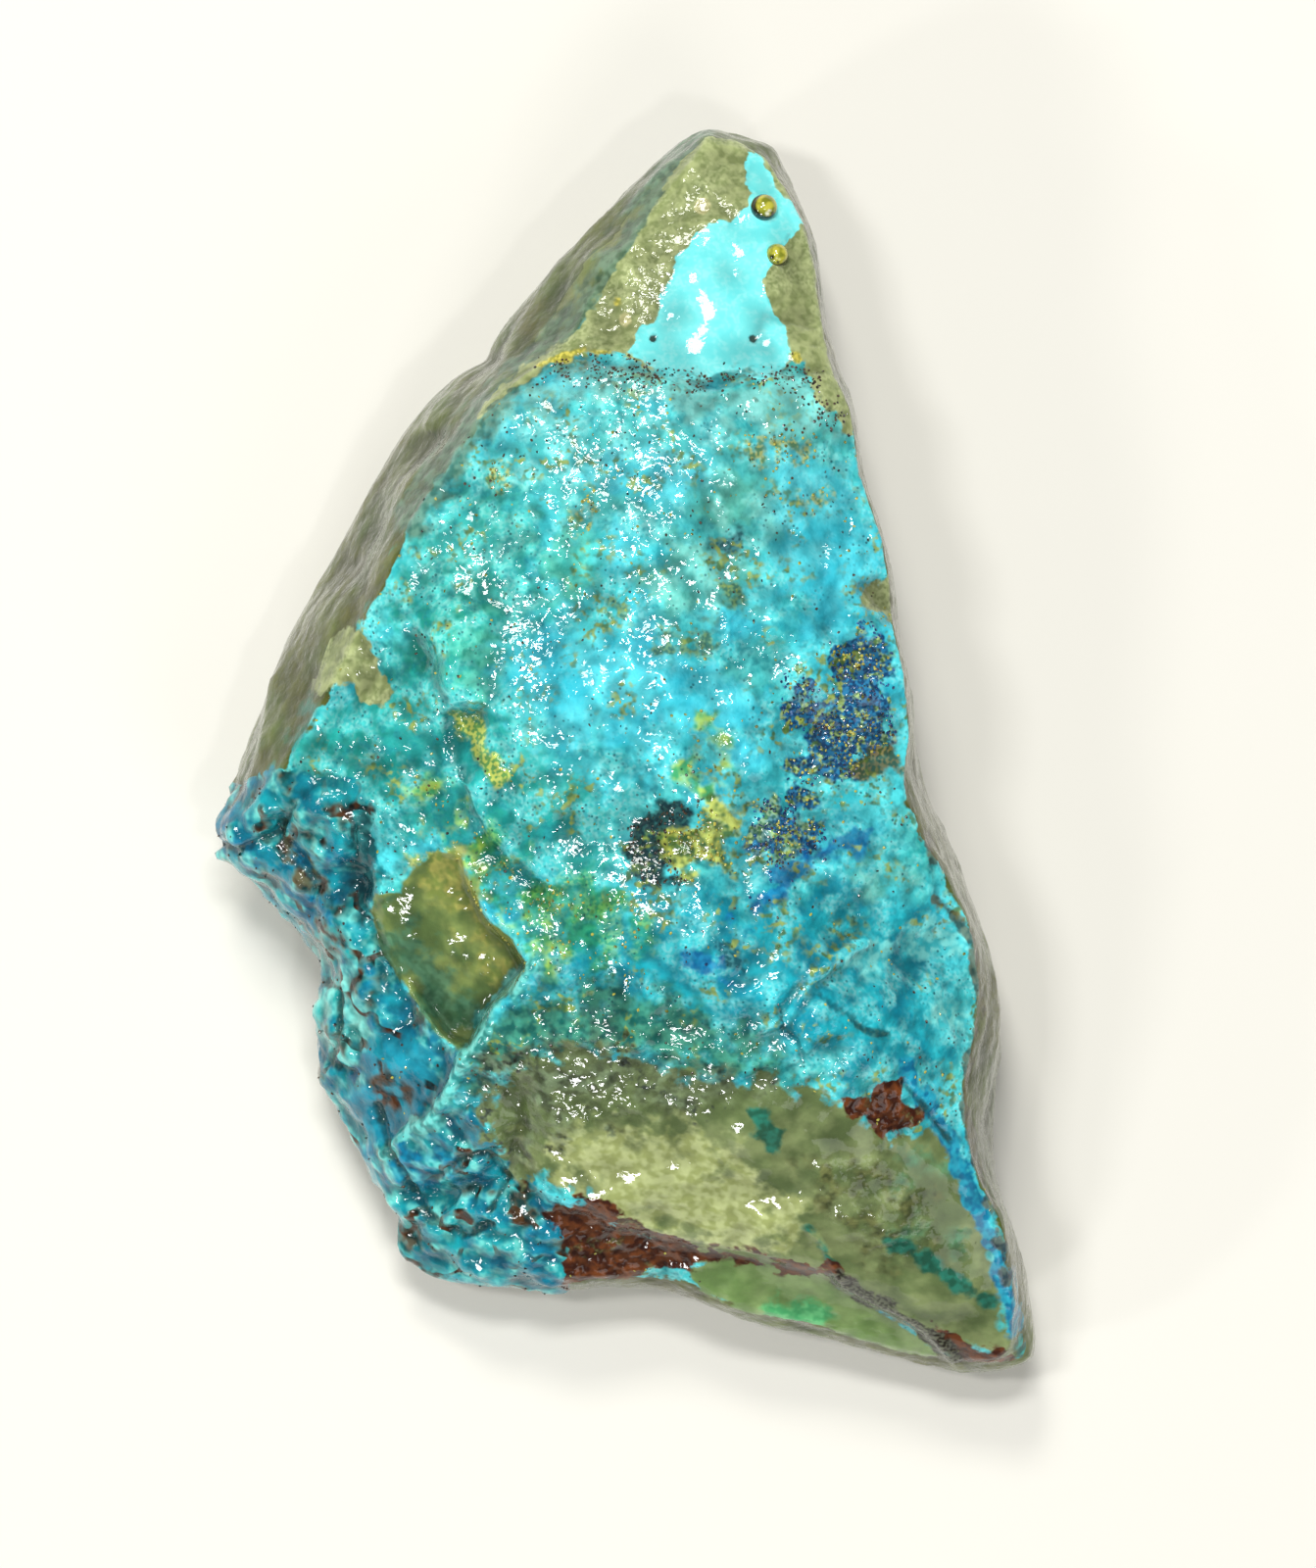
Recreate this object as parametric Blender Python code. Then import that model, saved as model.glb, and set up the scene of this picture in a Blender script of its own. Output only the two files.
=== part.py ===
"""A chrysocolla specimen: one broken piece of olive rock with a blue-green crust on one face.

The stone lies on its back. +Z points up out of the crusted face, +Y runs to the stone's pointed
end and +X to the right of the crusted face. Every size below is in millimetres; MM turns the
finished mesh into metres. The origin ends up under the middle of the stone, at its lowest level.

The surface is made of four rings of points joined by walls, closed by two caps:
    crest   the edge between the crusted face and the broken sides
    girdle  the widest outline of the stone, part of the way down its sides
    foot    the edge of the back, drawn in under the girdle
    caps    the crusted face inside the crest, and the rough back inside the foot
"""
import math
import random

import bmesh
import bpy
import numpy as np
from mathutils import Vector, noise
from mathutils.geometry import delaunay_2d_cdt

MM = 0.001

# Spacing of the surface points
FACE_CELL = 1.0
BACK_CELL = 1.7
RIM_CELL = 1.15

# The sides: where the rings of points sit between crest and girdle, and girdle and foot
UPPER_RINGS = (0.07, 0.22, 0.38, 0.54, 0.7, 0.85)
LOWER_RINGS = (0.3, 0.65)
UPPER_BULGE = 0.5
LOWER_BULGE = 0.9
FULL_LEAN = 2.5

# The back: its outline is the girdle drawn in towards a spine, and its rim is a little raised
SPINE = ((4.5, 22.0), (3.0, -18.0))
UNDERCUT = 0.16
FOOT_HEIGHT = 0.9
BACK_ROUGHNESS = 0.45
BACK_RIM_REACH = 3.0

# Unevenness, as size and height: lumps, the steps between broken chips, and the grooved sides
BROAD_LUMP = (6.5, 0.8)
SMALL_LUMP = (2.3, 0.45)
FACE_CHIP = (2.8, 0.3)
SIDE_LUMP = (4.0, 0.9)
SIDE_CHIP = (3.6, 0.5)
SIDE_GROOVE = (1.3, 9.0, 0.6)

# Stations round the stone, clockwise from the point: crest x, y, then girdle x, y and height.
# The crest's own height is the height of the crusted face there.
STATIONS = (
    (4.4, 33.5, 4.5, 34.3, 7.5),
    (6.4, 32.7, 6.6, 33.6, 7.5),
    (7.7, 32.2, 8.1, 33.2, 7.5),
    (8.6, 30.4, 9.3, 30.8, 7.5),
    (9.5, 28.8, 9.9, 29.2, 7.5),
    (10.1, 26.7, 10.4, 27.1, 8.0),
    (10.5, 23.7, 10.8, 24.1, 8.0),
    (10.9, 21.1, 11.4, 21.4, 8.0),
    (12.1, 18.3, 12.5, 18.6, 8.0),
    (12.6, 14.9, 12.9, 15.1, 8.0),
    (13.7, 11.7, 14.0, 11.9, 8.0),
    (14.3, 8.8, 14.7, 8.8, 8.0),
    (14.4, 6.3, 14.8, 6.4, 8.0),
    (15.0, 4.1, 15.4, 4.1, 8.0),
    (15.3, 1.0, 15.7, 0.9, 7.5),
    (14.9, -1.8, 16.3, -1.8, 7.0),
    (16.0, -4.7, 17.6, -4.6, 6.5),
    (17.3, -6.7, 18.7, -7.3, 6.0),
    (18.6, -9.5, 19.6, -9.8, 5.5),
    (19.2, -12.4, 20.4, -12.7, 5.0),
    (19.0, -15.4, 20.7, -15.6, 5.0),
    (18.4, -17.6, 20.4, -18.0, 5.0),
    (18.4, -20.3, 20.1, -20.7, 4.5),
    (19.0, -22.8, 20.2, -23.1, 4.5),
    (20.4, -25.5, 21.2, -26.0, 4.0),
    (20.8, -28.1, 22.1, -28.7, 4.0),
    (21.1, -30.7, 22.6, -31.4, 4.0),
    (21.0, -32.7, 22.8, -33.4, 4.0),
    (20.2, -33.3, 21.5, -34.3, 4.0),
    (17.8, -33.3, 18.2, -34.4, 4.0),
    (15.2, -32.7, 15.5, -33.7, 4.0),
    (11.7, -31.7, 12.0, -32.7, 4.0),
    (8.6, -31.0, 8.7, -32.0, 4.0),
    (5.4, -30.1, 5.5, -31.1, 4.5),
    (2.7, -28.9, 2.8, -29.9, 4.5),
    (-0.4, -28.7, -0.5, -29.6, 4.5),
    (-3.6, -28.9, -3.7, -29.8, 4.5),
    (-7.3, -28.7, -7.5, -29.7, 4.0),
    (-10.2, -28.4, -10.5, -29.4, 4.0),
    (-11.9, -27.1, -12.7, -27.8, 4.0),
    (-12.2, -25.3, -12.9, -25.9, 4.0),
    (-13.6, -22.7, -14.3, -23.3, 4.0),
    (-14.9, -19.7, -15.6, -20.2, 4.0),
    (-16.4, -17.4, -17.3, -17.8, 4.5),
    (-16.0, -15.9, -16.8, -16.2, 4.5),
    (-16.5, -13.4, -17.4, -13.7, 4.5),
    (-15.8, -11.8, -16.7, -11.9, 5.0),
    (-17.6, -9.3, -18.4, -9.5, 5.0),
    (-19.9, -6.9, -20.7, -7.0, 5.5),
    (-21.9, -5.4, -22.8, -5.6, 6.0),
    (-21.6, -4.4, -22.5, -4.3, 6.0),
    (-20.5, -3.1, -22.0, -2.8, 5.5),
    (-18.7, -1.1, -21.4, -0.4, 5.0),
    (-17.1, 1.5, -20.4, 1.8, 5.0),
    (-15.8, 3.8, -19.6, 4.1, 5.0),
    (-14.5, 6.4, -18.7, 6.6, 5.0),
    (-13.0, 9.2, -17.2, 9.3, 5.0),
    (-11.8, 11.9, -15.4, 12.1, 5.5),
    (-10.5, 14.1, -14.2, 14.4, 5.5),
    (-8.9, 16.1, -13.0, 16.4, 5.5),
    (-7.7, 17.8, -12.3, 17.8, 6.0),
    (-6.7, 19.1, -10.3, 19.8, 6.0),
    (-5.5, 20.2, -9.3, 20.8, 6.0),
    (-4.1, 21.3, -7.9, 21.3, 6.0),
    (-2.8, 22.7, -7.3, 22.9, 6.5),
    (-2.0, 24.5, -6.1, 24.2, 6.5),
    (-0.7, 26.4, -4.2, 26.4, 6.5),
    (0.9, 28.1, -2.1, 28.3, 7.0),
    (2.1, 29.7, -0.6, 30.3, 7.0),
    (3.2, 31.4, 1.3, 32.1, 7.0),
    (3.9, 32.7, 2.9, 33.8, 7.5),
)

# Heights of the crusted face, as x, y, z: the face bends smoothly through them
FACE_HEIGHTS = (
    # the pointed end
    (4.5, 33.8, 10.6), (8.0, 32.0, 10.8), (1.0, 28.5, 12.6), (5.5, 28.0, 13.2), (10.0, 27.5, 11.8),
    # the upper half of the crust
    (-5.0, 20.5, 14.9), (3.0, 21.0, 15.9), (11.2, 20.5, 14.2), (-9.5, 15.5, 15.3), (2.0, 13.0, 17.7),
    (12.7, 14.0, 15.2), (-13.2, 8.5, 15.2), (-7.0, 9.0, 17.0), (14.4, 6.5, 15.8), (4.0, 2.0, 18.3),
    # the middle, from the long left edge to the right edge
    (-16.2, 3.0, 14.2), (-8.0, 0.0, 17.3), (15.2, 0.0, 15.3), (-19.2, -1.5, 12.2), (-22.0, -5.0, 8.4),
    (-17.5, -6.0, 11.0), (-12.5, -4.0, 14.8), (-4.0, -7.0, 17.6), (6.0, -8.0, 18.2), (16.0, -5.5, 14.8),
    # the lobed left edge and the shoulder beside the olive hollow
    (-17.0, -11.0, 8.6), (-13.0, -11.0, 12.2), (-16.2, -16.5, 7.4), (-11.5, -17.0, 11.2),
    (-14.5, -21.0, 6.8), (-8.5, -20.5, 12.0), (-12.0, -26.0, 6.0), (-6.0, -25.0, 10.2), (-8.5, -28.4, 6.2),
    # the broken ridge and the plates at its right end
    (-5.5, -14.5, 16.6), (0.0, -14.0, 17.6), (6.0, -17.5, 17.7), (12.0, -12.5, 17.3), (18.6, -12.0, 13.4),
    (11.0, -18.0, 17.0), (-3.0, -18.0, 15.6), (17.8, -19.0, 13.6),
    # the olive slope below the ridge, and the stone's lower edge
    (0.0, -23.0, 13.3), (6.5, -23.0, 14.4), (12.5, -23.5, 14.4), (19.0, -24.5, 12.3), (20.6, -30.0, 9.8),
    (-3.5, -28.6, 7.6), (3.0, -28.4, 8.8), (10.0, -27.5, 11.2), (15.5, -29.0, 10.8), (9.5, -30.9, 7.4),
    (15.0, -32.4, 7.0), (20.5, -32.8, 7.6),
)

# The hollow where the crust has come away: its rim, and three points of its flat floor
HOLLOW_RIM = (
    (-10.1, -5.4), (-8.8, -5.6), (-8.3, -7.3), (-7.3, -9.2), (-6.1, -10.1), (-5.1, -11.8), (-6.2, -13.3),
    (-7.0, -13.9), (-7.8, -15.5), (-8.4, -16.4), (-9.9, -15.5), (-11.5, -13.4), (-12.8, -11.0),
    (-13.7, -8.6), (-13.3, -7.7), (-12.1, -7.5), (-11.4, -6.3),
)
HOLLOW_FLOOR = ((-10.5, -6.5, 14.5), (-6.4, -11.0, 14.2), (-12.8, -10.0, 12.4))
HOLLOW_WALL = 0.45

# Steps in the face: a line, the height gained on its left-hand side, and how far the gain reaches
STEP_WALL = 0.4
STEPS = (
    # the upper edge of the crust, against the bare olive point
    (((11.6, 20.5), (8.8, 20.4), (6.4, 20.2), (4.3, 19.6), (0.9, 20.7), (-2.0, 20.9), (-5.2, 19.6)),
     0.5, 7.0),
    # the lip along the groove that leaves the proud tongue
    (((-3.3, -7.6), (-4.9, -6.9), (-6.2, -6.0), (-7.3, -4.9), (-8.3, -3.4), (-8.8, -1.3)), -0.7, 3.5),
    # the iron-red seam, with the pale green lens set back below it
    (((17.4, -32.0), (14.3, -30.2), (12.2, -28.7), (8.5, -27.7), (3.3, -26.5), (-0.9, -25.5), (-3.8, -24.2)),
     -0.9, 5.0),
    # the broken ridge above the olive slope, and the two blue plates at its right end
    (((-6.5, -16.4), (-3.8, -15.7), (-1.0, -16.4), (1.6, -16.2), (4.4, -17.0)), 0.4, 2.4),
    (((5.6, -17.7), (7.3, -17.2), (8.9, -16.9), (10.6, -15.6), (12.4, -15.0)), 0.5, 2.6),
    (((5.2, -14.2), (6.6, -13.4), (8.0, -14.0), (9.3, -12.6), (11.0, -12.2), (13.4, -10.6)), 0.45, 2.2),
    # the crust's broken edge over the lobed left corner
    (((-19.2, -4.0), (-16.8, -3.4), (-15.4, -5.0), (-14.6, -7.2)), 0.6, 3.0),
)

# Rounded ridges, and valleys where the height is negative: a line, its half width and its height
RIDGES = (
    # the thin lip that runs from the hollow down to the left edge, and a shorter one below it
    (((-4.9, -11.6), (-6.3, -13.1), (-7.5, -14.3), (-8.1, -15.8), (-9.1, -17.2), (-9.6, -18.6),
      (-10.4, -19.9), (-11.4, -20.4), (-12.9, -21.7)), 0.7, 0.6),
    (((-10.6, -25.8), (-9.4, -25.2), (-8.4, -23.8)), 0.6, 0.5),
    # the cleft on the hollow's left, and the clefts between the lobes of both left corners
    (((-14.5, -3.4), (-14.6, -6.0), (-14.0, -8.6), (-13.3, -10.8), (-12.0, -13.2)), 0.9, -0.9),
    (((-18.6, -2.4), (-19.0, -4.6), (-17.4, -6.0), (-16.6, -8.2)), 0.7, -0.7),
    (((-6.2, -17.4), (-5.6, -20.4), (-6.6, -23.0), (-9.5, -24.4), (-12.4, -24.2)), 0.9, -0.8),
)

# Lumps and dents: x, y, radius and height, where a dent's height is negative
LUMPS = (
    # the proud tongue by the long left edge
    (-9.6, 7.2, 1.8, 0.7), (-9.3, 5.2, 1.5, 0.8), (-9.4, 3.4, 1.2, 0.7),
    # lobes of the left point and down the left edge
    (-20.4, -4.9, 1.6, 0.8), (-17.6, -3.0, 1.3, 0.7), (-18.2, -7.0, 1.4, 0.8), (-16.0, -5.4, 1.3, 0.7),
    (-16.0, -9.4, 1.5, 0.9), (-14.8, -12.6, 1.3, 1.0), (-15.6, -14.6, 1.1, 1.0), (-13.4, -14.6, 1.1, 0.8),
    (-15.6, -16.6, 1.0, 0.8), (-12.6, -17.2, 1.7, 0.7), (-14.2, -18.8, 1.2, 0.6), (-10.6, -22.0, 1.8, 0.8),
    (-12.6, -23.2, 1.2, 0.6), (-7.9, -20.6, 1.5, 0.8), (-11.0, -27.0, 1.2, 0.8), (-8.6, -27.2, 1.4, 0.7),
    (-6.2, -25.6, 1.7, 0.9), (-5.4, -27.6, 1.1, 0.6),
    # knobs along the broken ridge
    (-2.6, -15.0, 1.2, 0.4), (0.4, -15.4, 1.1, 0.4), (3.3, -15.9, 1.2, 0.5), (9.9, -14.4, 1.0, 0.4),
    # the two round nodules by the point
    (7.5, 29.2, 0.8, 0.5), (8.1, 26.8, 0.7, 0.45),
    # dents: the chipped right edge, the bare patch on the left, the dark pit and the groove's head
    (13.9, 8.2, 1.3, -1.2), (-13.6, 4.4, 1.4, -0.6), (1.3, -4.8, 2.0, -0.6), (-11.2, 5.0, 1.0, -0.6),
    (-8.4, -0.6, 1.1, -0.7), (-8.8, 1.4, 1.0, -0.7), (16.0, -10.6, 2.0, -0.5),
)

STONE_COLOUR = (0.07, 0.36, 0.41, 1.0)
STONE_ROUGHNESS = 0.35


def clear_scene():
    for item in list(bpy.data.objects):
        bpy.data.objects.remove(item)


def stone_material():
    """Chrysocolla crust: opaque blue-green, with the satin gloss of a dense mineral skin."""
    material = bpy.data.materials.new("chrysocolla_rock")
    material.use_nodes = True
    shader = material.node_tree.nodes["Principled BSDF"]
    shader.inputs["Base Color"].default_value = STONE_COLOUR
    shader.inputs["Roughness"].default_value = STONE_ROUGHNESS
    shader.inputs["Metallic"].default_value = 0.0
    return material


def smooth_ramp(value):
    """0 below 0, 1 above 1, and an S-shaped rise between."""
    value = min(max(value, 0.0), 1.0)
    return value * value * (3.0 - 2.0 * value)


def nearest_on_segment(x, y, start, end):
    """The nearest point of a segment, and on which side of the segment the given point lies."""
    along_x, along_y = end[0] - start[0], end[1] - start[1]
    share = ((x - start[0]) * along_x + (y - start[1]) * along_y) / (along_x ** 2 + along_y ** 2)
    share = min(max(share, 0.0), 1.0)
    near = (start[0] + share * along_x, start[1] + share * along_y)
    side = along_x * (y - start[1]) - along_y * (x - start[0])
    return near, side


def signed_distance_to_line(x, y, line):
    """Distance to an open line, positive on its left-hand side."""
    best = math.inf
    signed = 0.0
    for start, end in zip(line, line[1:]):
        near, side = nearest_on_segment(x, y, start, end)
        gap = math.dist((x, y), near)
        if gap < best:
            best = gap
            signed = math.copysign(gap, side)
    return signed


def is_inside(x, y, outline):
    inside = False
    for (ax, ay), (bx, by) in zip(outline, outline[1:] + outline[:1]):
        if (ay > y) != (by > y) and x < ax + (y - ay) / (by - ay) * (bx - ax):
            inside = not inside
    return inside


def distance_to_outline(x, y, outline):
    """Distance to a closed outline, positive inside it."""
    closed = outline + outline[:1]
    gap = abs(signed_distance_to_line(x, y, closed))
    return gap if is_inside(x, y, outline) else -gap


def bending_surface(heights):
    """The smoothest surface through the given heights (a thin-plate spline), as a function of x, y."""
    spots = np.array(heights)
    count = len(spots)
    gaps = np.hypot(spots[:, None, 0] - spots[None, :, 0], spots[:, None, 1] - spots[None, :, 1])
    plane = np.column_stack((np.ones(count), spots[:, 0], spots[:, 1]))
    matrix = np.zeros((count + 3, count + 3))
    matrix[:count, :count] = gaps ** 2 * np.log(gaps + 1e-9)
    matrix[:count, count:] = plane
    matrix[count:, :count] = plane.T
    weights = np.linalg.solve(matrix, np.append(spots[:, 2], (0.0, 0.0, 0.0)))

    def height(x, y):
        reach = np.hypot(spots[:, 0] - x, spots[:, 1] - y)
        bend = np.dot(weights[:count], reach ** 2 * np.log(reach + 1e-9))
        return float(bend + weights[count] + weights[count + 1] * x + weights[count + 2] * y)

    return height


def lump(x, y, size_and_height, seed):
    size, height = size_and_height
    return height * noise.noise(Vector((x / size, y / size, seed)))


def chips(x, y, size_and_height, seed):
    """Broken chips: each cell of the surface has a tilt of its own, with small steps between."""
    size, height = size_and_height
    spot = Vector((x / size, y / size, seed))
    centre = noise.voronoi(spot)[1][0]
    tilt = noise.cell_vector(centre * 9.7) - Vector((0.5, 0.5, 0.5))
    offset = spot - centre
    return 2.0 * height * (tilt.x * offset.x + tilt.y * offset.y + 0.3 * tilt.z)


def hollow_floor(x, y):
    """Height of the plane through the hollow's three floor points."""
    first, second, third = (Vector(point) for point in HOLLOW_FLOOR)
    normal = (second - first).cross(third - first)
    return first.z - (normal.x * (x - first.x) + normal.y * (y - first.y)) / normal.z


def step_gain(x, y, line, gain, reach):
    """A step: full gain at the line, on its left, dying away across the reach and past its ends."""
    signed = signed_distance_to_line(x, y, line)
    past_end = min(math.dist((x, y), line[0]), math.dist((x, y), line[-1]))
    wall = smooth_ramp(signed / STEP_WALL)
    return gain * wall * smooth_ramp(1.0 - signed / reach) * smooth_ramp(past_end / 1.5)


def ridge_rise(x, y, line, half_width, height):
    """A ridge or valley with a rounded cross-section, running out towards both ends of its line."""
    gap = abs(signed_distance_to_line(x, y, line)) / half_width
    if gap >= 1.0:
        return 0.0
    past_end = min(math.dist((x, y), line[0]), math.dist((x, y), line[-1]))
    return height * smooth_ramp(1.0 - gap) * smooth_ramp(0.3 + past_end / 1.5)


def crusted_face():
    """The crusted face's height at x, y, with its steps, ridges, lumps and hollow."""
    bend = bending_surface(FACE_HEIGHTS)

    def height(x, y):
        z = bend(x, y)
        z += lump(x, y, BROAD_LUMP, 3.1) + lump(x, y, SMALL_LUMP, 7.7) + chips(x, y, FACE_CHIP, 1.3)
        for line, gain, reach in STEPS:
            z += step_gain(x, y, line, gain, reach)
        for line, half_width, rise in RIDGES:
            z += ridge_rise(x, y, line, half_width, rise)
        for lump_x, lump_y, radius, rise in LUMPS:
            share = math.dist((x, y), (lump_x, lump_y)) / radius
            z += rise * math.sqrt(1.0 - share ** 2) if share < 1.0 else 0.0
        depth = smooth_ramp(distance_to_outline(x, y, HOLLOW_RIM) / HOLLOW_WALL)
        floor = hollow_floor(x, y) + lump(x, y, SMALL_LUMP, 4.4)
        return z + depth * min(floor - z, 0.0)

    return height


def spread_stations():
    """Stations at an even spacing round the stone, between the ones given."""
    spread = []
    for here, after in zip(STATIONS, STATIONS[1:] + STATIONS[:1]):
        span = 0.5 * (math.dist(here[:2], after[:2]) + math.dist(here[2:4], after[2:4]))
        pieces = max(1, round(span / RIM_CELL))
        for piece in range(pieces):
            share = piece / pieces
            spread.append([a + share * (b - a) for a, b in zip(here, after)])
    return spread


def side_relief(x, y, z):
    """Roughness of the broken sides: lumps, chips, and long shallow grooves along the stone."""
    size, height = SIDE_LUMP
    across, along, groove_height = SIDE_GROOVE
    rough = height * noise.noise(Vector((x, y, z)) / size)
    rough += chips(y, z, SIDE_CHIP, 6.1)
    return rough + groove_height * noise.noise(Vector((x / across, y / along, z / across)))


def ring_points(lower, upper, share, bulge):
    """One ring between two others. Where the side leans, it bulges and its roughness shows most."""
    ring = []
    for low, high in zip(lower, upper):
        point = high.lerp(low, share)
        near, _ = nearest_on_segment(point.x, point.y, *SPINE)
        outward = Vector((point.x - near[0], point.y - near[1], 0.0)).normalized()
        lean = min(math.dist(low.xy, high.xy) / FULL_LEAN, 1.0)
        push = lean * (bulge + side_relief(*point)) * math.sin(math.pi * share)
        ring.append(point + outward * push)
    return ring


def foot_ring(girdle):
    ring = []
    for point in girdle:
        near, _ = nearest_on_segment(point.x, point.y, *SPINE)
        inward = Vector((near[0] - point.x, near[1] - point.y, 0.0)) * UNDERCUT
        rise = FOOT_HEIGHT * (1.0 + 0.5 * noise.noise(point / 5.0))
        ring.append(Vector((point.x + inward.x, point.y + inward.y, rise)))
    return ring


def scattered_points(outline, cell, guides, seed):
    """Points in a shaken honeycomb inside an outline, kept clear of it and of the guide points."""
    shake = random.Random(seed)
    xs = [point[0] for point in outline]
    ys = [point[1] for point in outline]
    row_gap = cell * math.sqrt(0.75)
    points = []
    for row in range(int((max(ys) - min(ys)) / row_gap) + 1):
        y = min(ys) + (row + 0.5) * row_gap
        shift = 0.5 * cell * (row % 2)
        for column in range(int((max(xs) - min(xs)) / cell) + 1):
            x = min(xs) + column * cell + shift + shake.uniform(-0.22, 0.22) * cell
            spot = (x, y + shake.uniform(-0.22, 0.22) * cell)
            if distance_to_outline(*spot, outline) < 0.6 * cell:
                continue
            if all(math.dist(spot, guide) > 0.55 * cell for guide in guides):
                points.append(spot)
    return points


def spaced_line(line, gap):
    """Points along a line at about the given gap, its ends included."""
    points = []
    for start, end in zip(line, line[1:]):
        pieces = max(1, round(math.dist(start, end) / gap))
        for piece in range(pieces):
            share = piece / pieces
            points.append((start[0] + share * (end[0] - start[0]), start[1] + share * (end[1] - start[1])))
    return points + [line[-1]]


def two_lips(line, gap, width):
    """Points along a line, and as many again at the given width to its left."""
    spots = spaced_line(line, gap)
    lips = list(spots)
    for before, spot, after in zip(spots[:1] + spots, spots, spots[1:] + spots[-1:]):
        along = Vector((after[0] - before[0], after[1] - before[1])).normalized()
        lips.append((spot[0] - width * along.y, spot[1] + width * along.x))
    return lips


def guide_points(outline):
    """Points along each ridge and on both lips of each step and wall, so that they stay crisp."""
    lips = []
    for line, _, _ in RIDGES:
        lips += spaced_line(line, 0.8 * FACE_CELL)
    for line, _, _ in STEPS:
        lips += two_lips(line, 0.7 * FACE_CELL, STEP_WALL)
    rim = HOLLOW_RIM + HOLLOW_RIM[:1]
    lips += two_lips(tuple(reversed(rim)), 0.7 * FACE_CELL, HOLLOW_WALL)
    return [lip for lip in lips if distance_to_outline(*lip, outline) > 0.5 * FACE_CELL]


def fill_outline(bm, rim, spots, height):
    """Close a ring of vertices with triangles through the given spots, lifted to their height."""
    flat = [Vector(vertex.co.xy) for vertex in rim] + [Vector(spot) for spot in spots]
    points, _, faces, origins, _, _ = delaunay_2d_cdt(flat, [], [list(range(len(rim)))], 1, 1e-5)
    vertices = []
    for point, origin in zip(points, origins):
        on_rim = [index for index in origin if index < len(rim)]
        if on_rim:
            vertices.append(rim[on_rim[0]])
        else:
            vertices.append(bm.verts.new((point.x, point.y, height(point.x, point.y))))
    for face in faces:
        bm.faces.new([vertices[index] for index in face])


def join_rings(bm, upper, lower):
    count = len(upper)
    for index in range(count):
        after = (index + 1) % count
        quad = (upper[index], lower[index], lower[after], upper[after])
        if (quad[0].co - quad[2].co).length < (quad[1].co - quad[3].co).length:
            bm.faces.new((quad[0], quad[1], quad[2]))
            bm.faces.new((quad[0], quad[2], quad[3]))
        else:
            bm.faces.new((quad[0], quad[1], quad[3]))
            bm.faces.new((quad[1], quad[2], quad[3]))


def back_height(outline):
    """The rough back: mostly flat at z = 0, with shallow hollows, rising to its rim."""
    def height(x, y):
        edge = 1.0 - min(distance_to_outline(x, y, outline) / BACK_RIM_REACH, 1.0)
        rough = BACK_ROUGHNESS * noise.noise(Vector((x / 5.0, y / 5.0, 9.2)))
        return max(0.0, rough + FOOT_HEIGHT * edge ** 2 - 0.05)
    return height


def stone_mesh():
    face_height = crusted_face()
    stations = spread_stations()
    crest = [Vector((x, y, face_height(x, y))) for x, y, _, _, _ in stations]
    girdle = [Vector((x, y, z)) for _, _, x, y, z in stations]
    foot = foot_ring(girdle)
    rings = [crest]
    rings += [ring_points(girdle, crest, share, UPPER_BULGE) for share in UPPER_RINGS]
    rings += [girdle]
    rings += [ring_points(foot, girdle, share, LOWER_BULGE) for share in LOWER_RINGS]
    rings += [foot]

    bm = bmesh.new()
    loops = [[bm.verts.new(point) for point in ring] for ring in rings]
    for upper, lower in zip(loops, loops[1:]):
        join_rings(bm, upper, lower)
    crest_outline = tuple((point.x, point.y) for point in crest)
    guides = guide_points(crest_outline)
    fill_outline(bm, loops[0], guides + scattered_points(crest_outline, FACE_CELL, guides, 5), face_height)
    foot_outline = tuple((point.x, point.y) for point in foot)
    back_spots = scattered_points(foot_outline, BACK_CELL, [], 8)
    fill_outline(bm, loops[-1], back_spots, back_height(foot_outline))
    bmesh.ops.recalc_face_normals(bm, faces=bm.faces)
    return bm


def settle(bm):
    """Put the origin under the middle of the stone at its lowest level, and turn mm into metres."""
    lows = Vector([min(vertex.co[axis] for vertex in bm.verts) for axis in range(3)])
    highs = Vector([max(vertex.co[axis] for vertex in bm.verts) for axis in range(3)])
    shift = Vector((-0.5 * (lows.x + highs.x), -0.5 * (lows.y + highs.y), -lows.z))
    bmesh.ops.translate(bm, vec=shift, verts=bm.verts)
    bmesh.ops.scale(bm, vec=(MM, MM, MM), verts=bm.verts)


def build_stone():
    bm = stone_mesh()
    settle(bm)
    mesh = bpy.data.meshes.new("chrysocolla_stone")
    bm.to_mesh(mesh)
    bm.free()
    mesh.shade_smooth()
    mesh.set_sharp_from_angle(angle=math.radians(38.0))
    mesh.materials.append(stone_material())
    stone = bpy.data.objects.new("chrysocolla_stone", mesh)
    bpy.context.scene.collection.objects.link(stone)


clear_scene()
build_stone()
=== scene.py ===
import math

import bmesh
import bpy
import numpy as np
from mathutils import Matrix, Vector
from mathutils.bvhtree import BVHTree


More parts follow.
